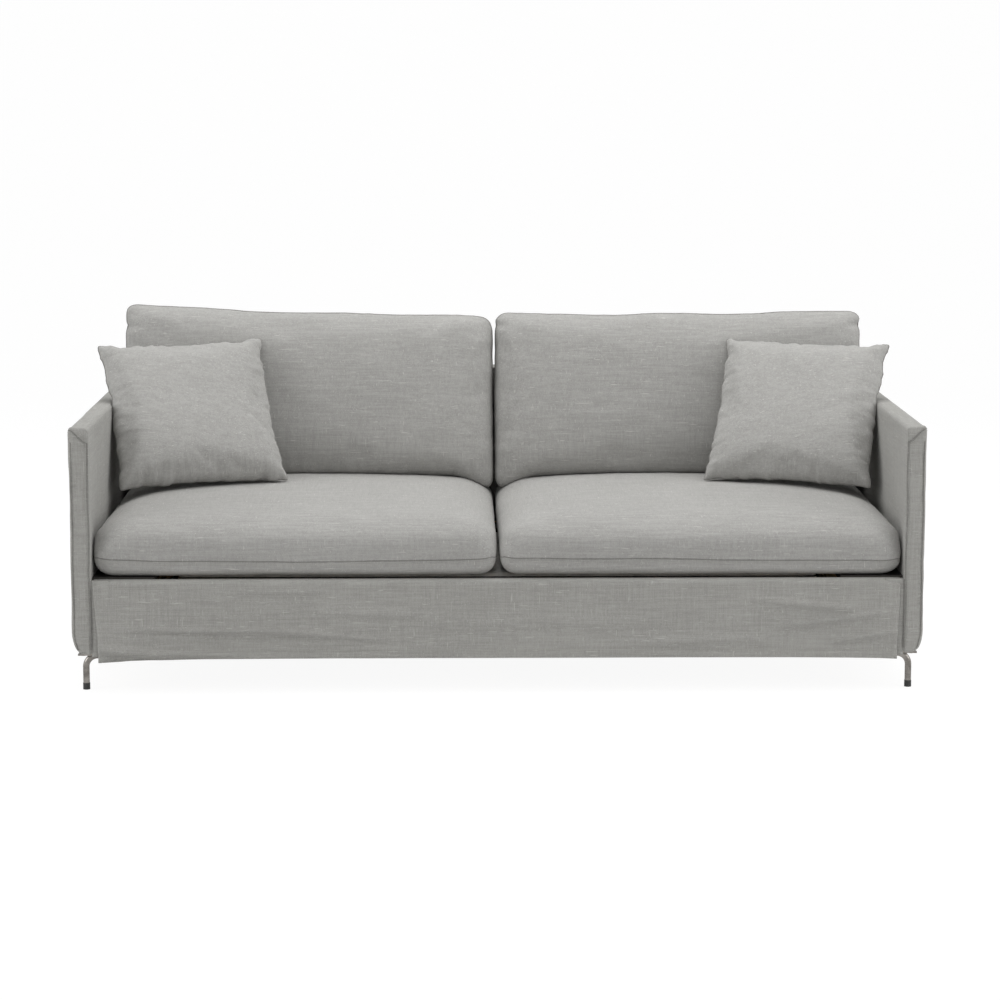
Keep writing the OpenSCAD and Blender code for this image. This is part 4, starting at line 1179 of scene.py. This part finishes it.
# %% [markdown]
# ## Back cover
# The back frame wears a boxed cover, sewn along its top edges and at its ends, and open below where
# it is pulled down over the webbing. Its front is flat because the back cushions lean on it.

# %% Back cover
def back_cover():
    middle, half = (COVER_LOW + COVER_HIGH) / 2, (COVER_HIGH - COVER_LOW) / 2
    skin, faces = box_skin([ruled(n, 2 * h, MARGINS) for n, h in zip((112, 3, 26), half)])
    points = rounded(skin * half, half - 0.0003, (0.0045, 0.0045, 0.0045)) + middle
    kept = [f for f in faces if not np.all(skin[f, 2] < -ON_FACE)]
    cover = make_mesh("back_cover_cloth", points, kept, cover_linen)
    points, normals = subdivide(cover)
    behind = smooth_step(points[:, 1], COVER_LOW[1] + 0.004, COVER_LOW[1] + 0.02)
    ends = 1 - smooth_step(np.abs(points[:, 0]), ARM_FACE - 0.02, ARM_FACE - 0.004)
    soft = 0.0012 + folds(points, (0.0018, (2.2, 3, 4), 101), (0.0006, (9, 9, 16), 102, 2))
    points += normals * (np.maximum(soft, 0) * behind * ends)[:, None]
    set_points(cover, points)
    thicken(cover, CLOTH)
    return dress(cover, "root", stands_for="back_cover")


def back_seams():
    x = np.linspace(-ARM_FACE + 0.016, ARM_FACE - 0.016, 240)
    z = COVER_HIGH[2] - 0.0035 + 0.0008 * np.sin(x * 17)
    for label, y in (("front", COVER_LOW[1] + 0.0045), ("rear", COVER_HIGH[1] - 0.0035)):
        path = line_of(x, y, z)
        welt("back_cover_seam_" + label, path, radius=0.0016, body="root")
    stitched("back_cover_stitches", [path + (0, 0.0050, -0.0065)], "root")


cover = back_cover()
back_seams()
print("back cover", faces_in([cover]))

# %% [markdown]
# ## Mattress pads
# The bed's mattress is in three pads, one on each section. Each is quilted foam: a lattice of
# stitched channels pulls the ticking down, and between the channels it rises in small diamonds.
# A taped edge runs round the top and the bottom of every pad.

# %% Mattress pads
PAD_SQUARE = 0.011
QUILT_PITCH, QUILT_DEPTH = 0.130, 0.0036


def channels(run):
    """1 along the stitched lines that cross a pad at an even pitch, and 0 between them."""
    off = 1 - np.abs((run / QUILT_PITCH) % 1 - 0.5) * 2
    return np.exp(-(off / 0.17) ** 2)


def mattress_pad(section, seed):
    low, high = box_of(section + "_mattress")
    middle, half = (low + high) / 2, (high - low) / 2
    skin, faces = box_skin((int(2 * half[0] / PAD_SQUARE), int(2 * half[1] / PAD_SQUARE), 4))
    size = half - (0.002, 0.002, 0.0012)
    points = rounded(skin * size, size, (0.016, 0.016, 0.011))
    flat = smooth_step(np.abs(skin[:, 2]), 0.9, 1.0)
    x, y = points[:, 0], points[:, 1]
    quilt = np.maximum(channels(x + y), channels(x - y)) * flat
    points[:, 2] -= np.sign(skin[:, 2]) * QUILT_DEPTH * quilt
    points[:, 2] += 0.0005 * cloth_noise(points, (8, 8, 8), seed, 2) * flat
    rim = np.isclose(np.abs(skin[:, :2]).max(1), 1)
    body = section + "_section"
    for level, label in ((0.5, "upper"), (-0.5, "lower")):
        ring = ring_order(points, rim & np.isclose(skin[:, 2], level))
        path = points[ring] * (0.9995, 0.999, 1) + middle
        welt(section + "_mattress_tape_" + label, path, radius=0.0019, body=body, material=webbing,
             slot="ticking", closed=True)
    pad = make_mesh(section + "_mattress_pad", points + middle, faces, ticking)
    return dress(pad, body, "ticking", stands_for=section + "_mattress")


pads = [mattress_pad(section, seed) for section, seed in (("head", 7), ("middle", 8), ("foot", 9))]
print("mattress pads", faces_in(pads))

# %% [markdown]
# ## Straps
# The back springs on upright elastic straps, stapled to the rails, and a short loop of webbing at the
# bed's front end is the pull. Each strap is a band with slightly raised edges and a little slack.

# %% Straps
def band(name, low, high, long_axis, slack, body, slot, cloth):
    """A flat strap that fills a thin box, bowed a little across its thin side."""
    low, high = np.array((low, high))
    size = high - low
    thin = int(np.argmin(size))
    wide = 3 - long_axis - thin
    counts = [1, 1, 1]
    counts[long_axis], counts[wide] = max(int(size[long_axis] / 0.012), 4), 8
    skin, faces = box_skin(counts)
    points = skin * size / 2
    points[:, thin] *= 0.72 + 0.28 * smooth_step(np.abs(skin[:, wide]), 0.70, 0.95)
    points[:, thin] += slack * (1 - skin[:, long_axis] ** 2)
    return dress(make_mesh(name, points + (low + high) / 2, faces, cloth), body, slot)


STRAP_COUNT = 16
points = points_of(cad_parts["back_webbing"])
boxes = np.split(points[np.argsort(points[:, 0])], STRAP_COUNT)
straps = [band(f"back_strap_{number}", box.min(0), box.max(0), long_axis=2, slack=0.0010,
               body="root", slot="webbing", cloth=webbing)
          for number, box in enumerate(boxes, 1)]
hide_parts("back_webbing")
low, high = box_of("pull_strap")
near, far, level = low[1] + 0.0205, low[1] + 0.0222, low[2] + 0.0075
PULL = {"body": "foot_section", "slot": "strap_web", "cloth": strap_web}
loop_front = band("pull_strap_front", (low[0], near, low[2]), (high[0], far, high[2]),
                  long_axis=2, slack=0.0002, **PULL)
band("pull_strap_loop", (low[0], low[1], level), (high[0], near, level + 0.0017),
     long_axis=1, slack=0.0006, **PULL)
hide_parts("pull_strap")
print(len(straps), "back straps and a pull loop")

# %% [markdown]
# ## Finishes for the rigid pieces
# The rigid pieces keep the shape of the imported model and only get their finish. Boards take the
# timber whose grain runs along their length.

# %% Rigid pieces
FINISHES = {
    "pine_long": "front_rail rear_rail back_top_rail back_bottom_rail",
    "pine_deep": "side_rail_left side_rail_right bearer_left bearer_right",
    "pine_tall": "arm_frame_left arm_frame_right back_posts",
    "plywood_painted_shade": "side_deck_left side_deck_right rear_deck",
    "powder_coat": "head_frame middle_frame foot_frame middle_leg_posts middle_leg_brace end_leg_posts "
                   "end_leg_brace front_lift_arms rear_lift_arms",
    "zinc_plate": "lift_plate_left lift_plate_right lift_studs plate_bolts head_hinges middle_hinges "
                  "foot_hinges fold_links foot_screws",
    "rod_plate": "foot_front_left foot_front_right foot_rear_left foot_rear_right",
    "glide_plastic": "foot_glides middle_leg_glides end_leg_glides",
}
for finish, names in FINISHES.items():
    for name in names.split():
        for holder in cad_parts[name].material_slots:
            holder.material = bpy.data.materials[finish]
print("rigid pieces", sum(len(names.split()) for names in FINISHES.values()))

# %% [markdown]
# ## Studio
# The photograph is a plain product picture on white: soft light from above and in front, almost no
# shadow. Rays that see the floor or the world directly meet white. All other light meets a plain pale
# floor and a dimmer world, so a faint shadow stays under the sofa and the linen keeps its grey.

# %% Studio
WHITE, PALE = (1, 1, 1, 1), (0.80, 0.80, 0.80, 1)
FLOOR_PROFILE = ((-90.0, 0.0), (6.0, 0.0), (8.0, 0.6), (9.0, 2.2), (9.2, 7.0))     # y and z
FLOOR_REACH = 40.0
FLOOR_GLOW = 1.09       # a little over white, because a share of the pale floor is mixed in
WORLD_LIGHT = 0.47
# place, aim, size and power of each lamp
PANELS = {
    "key_panel": ((-0.3, -2.7, 4.6), (0, 0.1, 0.4), (8.0, 3.0), 16),
    "top_panel": ((0.2, 0.3, 3.6), (0, -0.1, 0.3), (4.4, 2.4), 84),
    "front_fill": ((0.2, -6.6, 1.5), (0, 0, 0.4), (5.0, 2.4), 18),
    "left_panel": ((-4.2, -1.8, 1.9), (0, 0, 0.5), (2.4, 2.4), 56),
    "right_panel": ((4.2, -1.8, 1.9), (0, 0, 0.5), (2.4, 2.4), 56),
}


def backdrop(holder, output, plain, white, share):
    """Mix a share of the white shader in for rays that see it straight, mirrored or through glass."""
    holder.use_nodes = True
    tree = holder.node_tree
    tree.nodes.clear()
    sees = node(tree, "LightPath", output="Is Camera Ray")
    for kind in ("Is Glossy Ray", "Is Transmission Ray"):
        sees = sees.sum("MAXIMUM", sees, node(tree, "LightPath", output=kind))
    sockets = {"Fac": sees * share, 1: node(tree, *plain), 2: node(tree, *white)}
    node(tree, output, sockets={"Surface": node(tree, "MixShader", sockets=sockets)})


def studio():
    paper = bpy.data.materials.new("studio_paper")
    matt = ("BsdfDiffuse", None, {"Color": PALE})
    glow = ("Emission", None, {"Color": WHITE, "Strength": FLOOR_GLOW})
    backdrop(paper, "OutputMaterial", matt, glow, share=0.85)
    points = [(x, y, z) for y, z in FLOOR_PROFILE for x in (-FLOOR_REACH, FLOOR_REACH)]
    make_mesh("studio_floor", points, grid_faces(1, len(FLOOR_PROFILE) - 1, True), paper)
    scene.world = bpy.data.worlds.new("studio_world")
    around, seen = (("Background", None, {"Color": WHITE, "Strength": s}) for s in (WORLD_LIGHT, 1.0))
    backdrop(scene.world, "OutputWorld", around, seen, share=1.0)


def panel_light(name, place, aim, size, power):
    light = bpy.data.lights.new(name, "AREA")
    light.shape, light.energy = "RECTANGLE", power
    light.size, light.size_y = size
    lamp = added(name, light)
    lamp.location = place
    lamp.rotation_euler = (Vector(aim) - Vector(place)).to_track_quat("-Z", "Y").to_euler()


studio()
for name, lamp in PANELS.items():
    panel_light(name, *lamp)
scene.view_settings.view_transform = "Standard"
print("studio lit with", len(PANELS), "lamps")
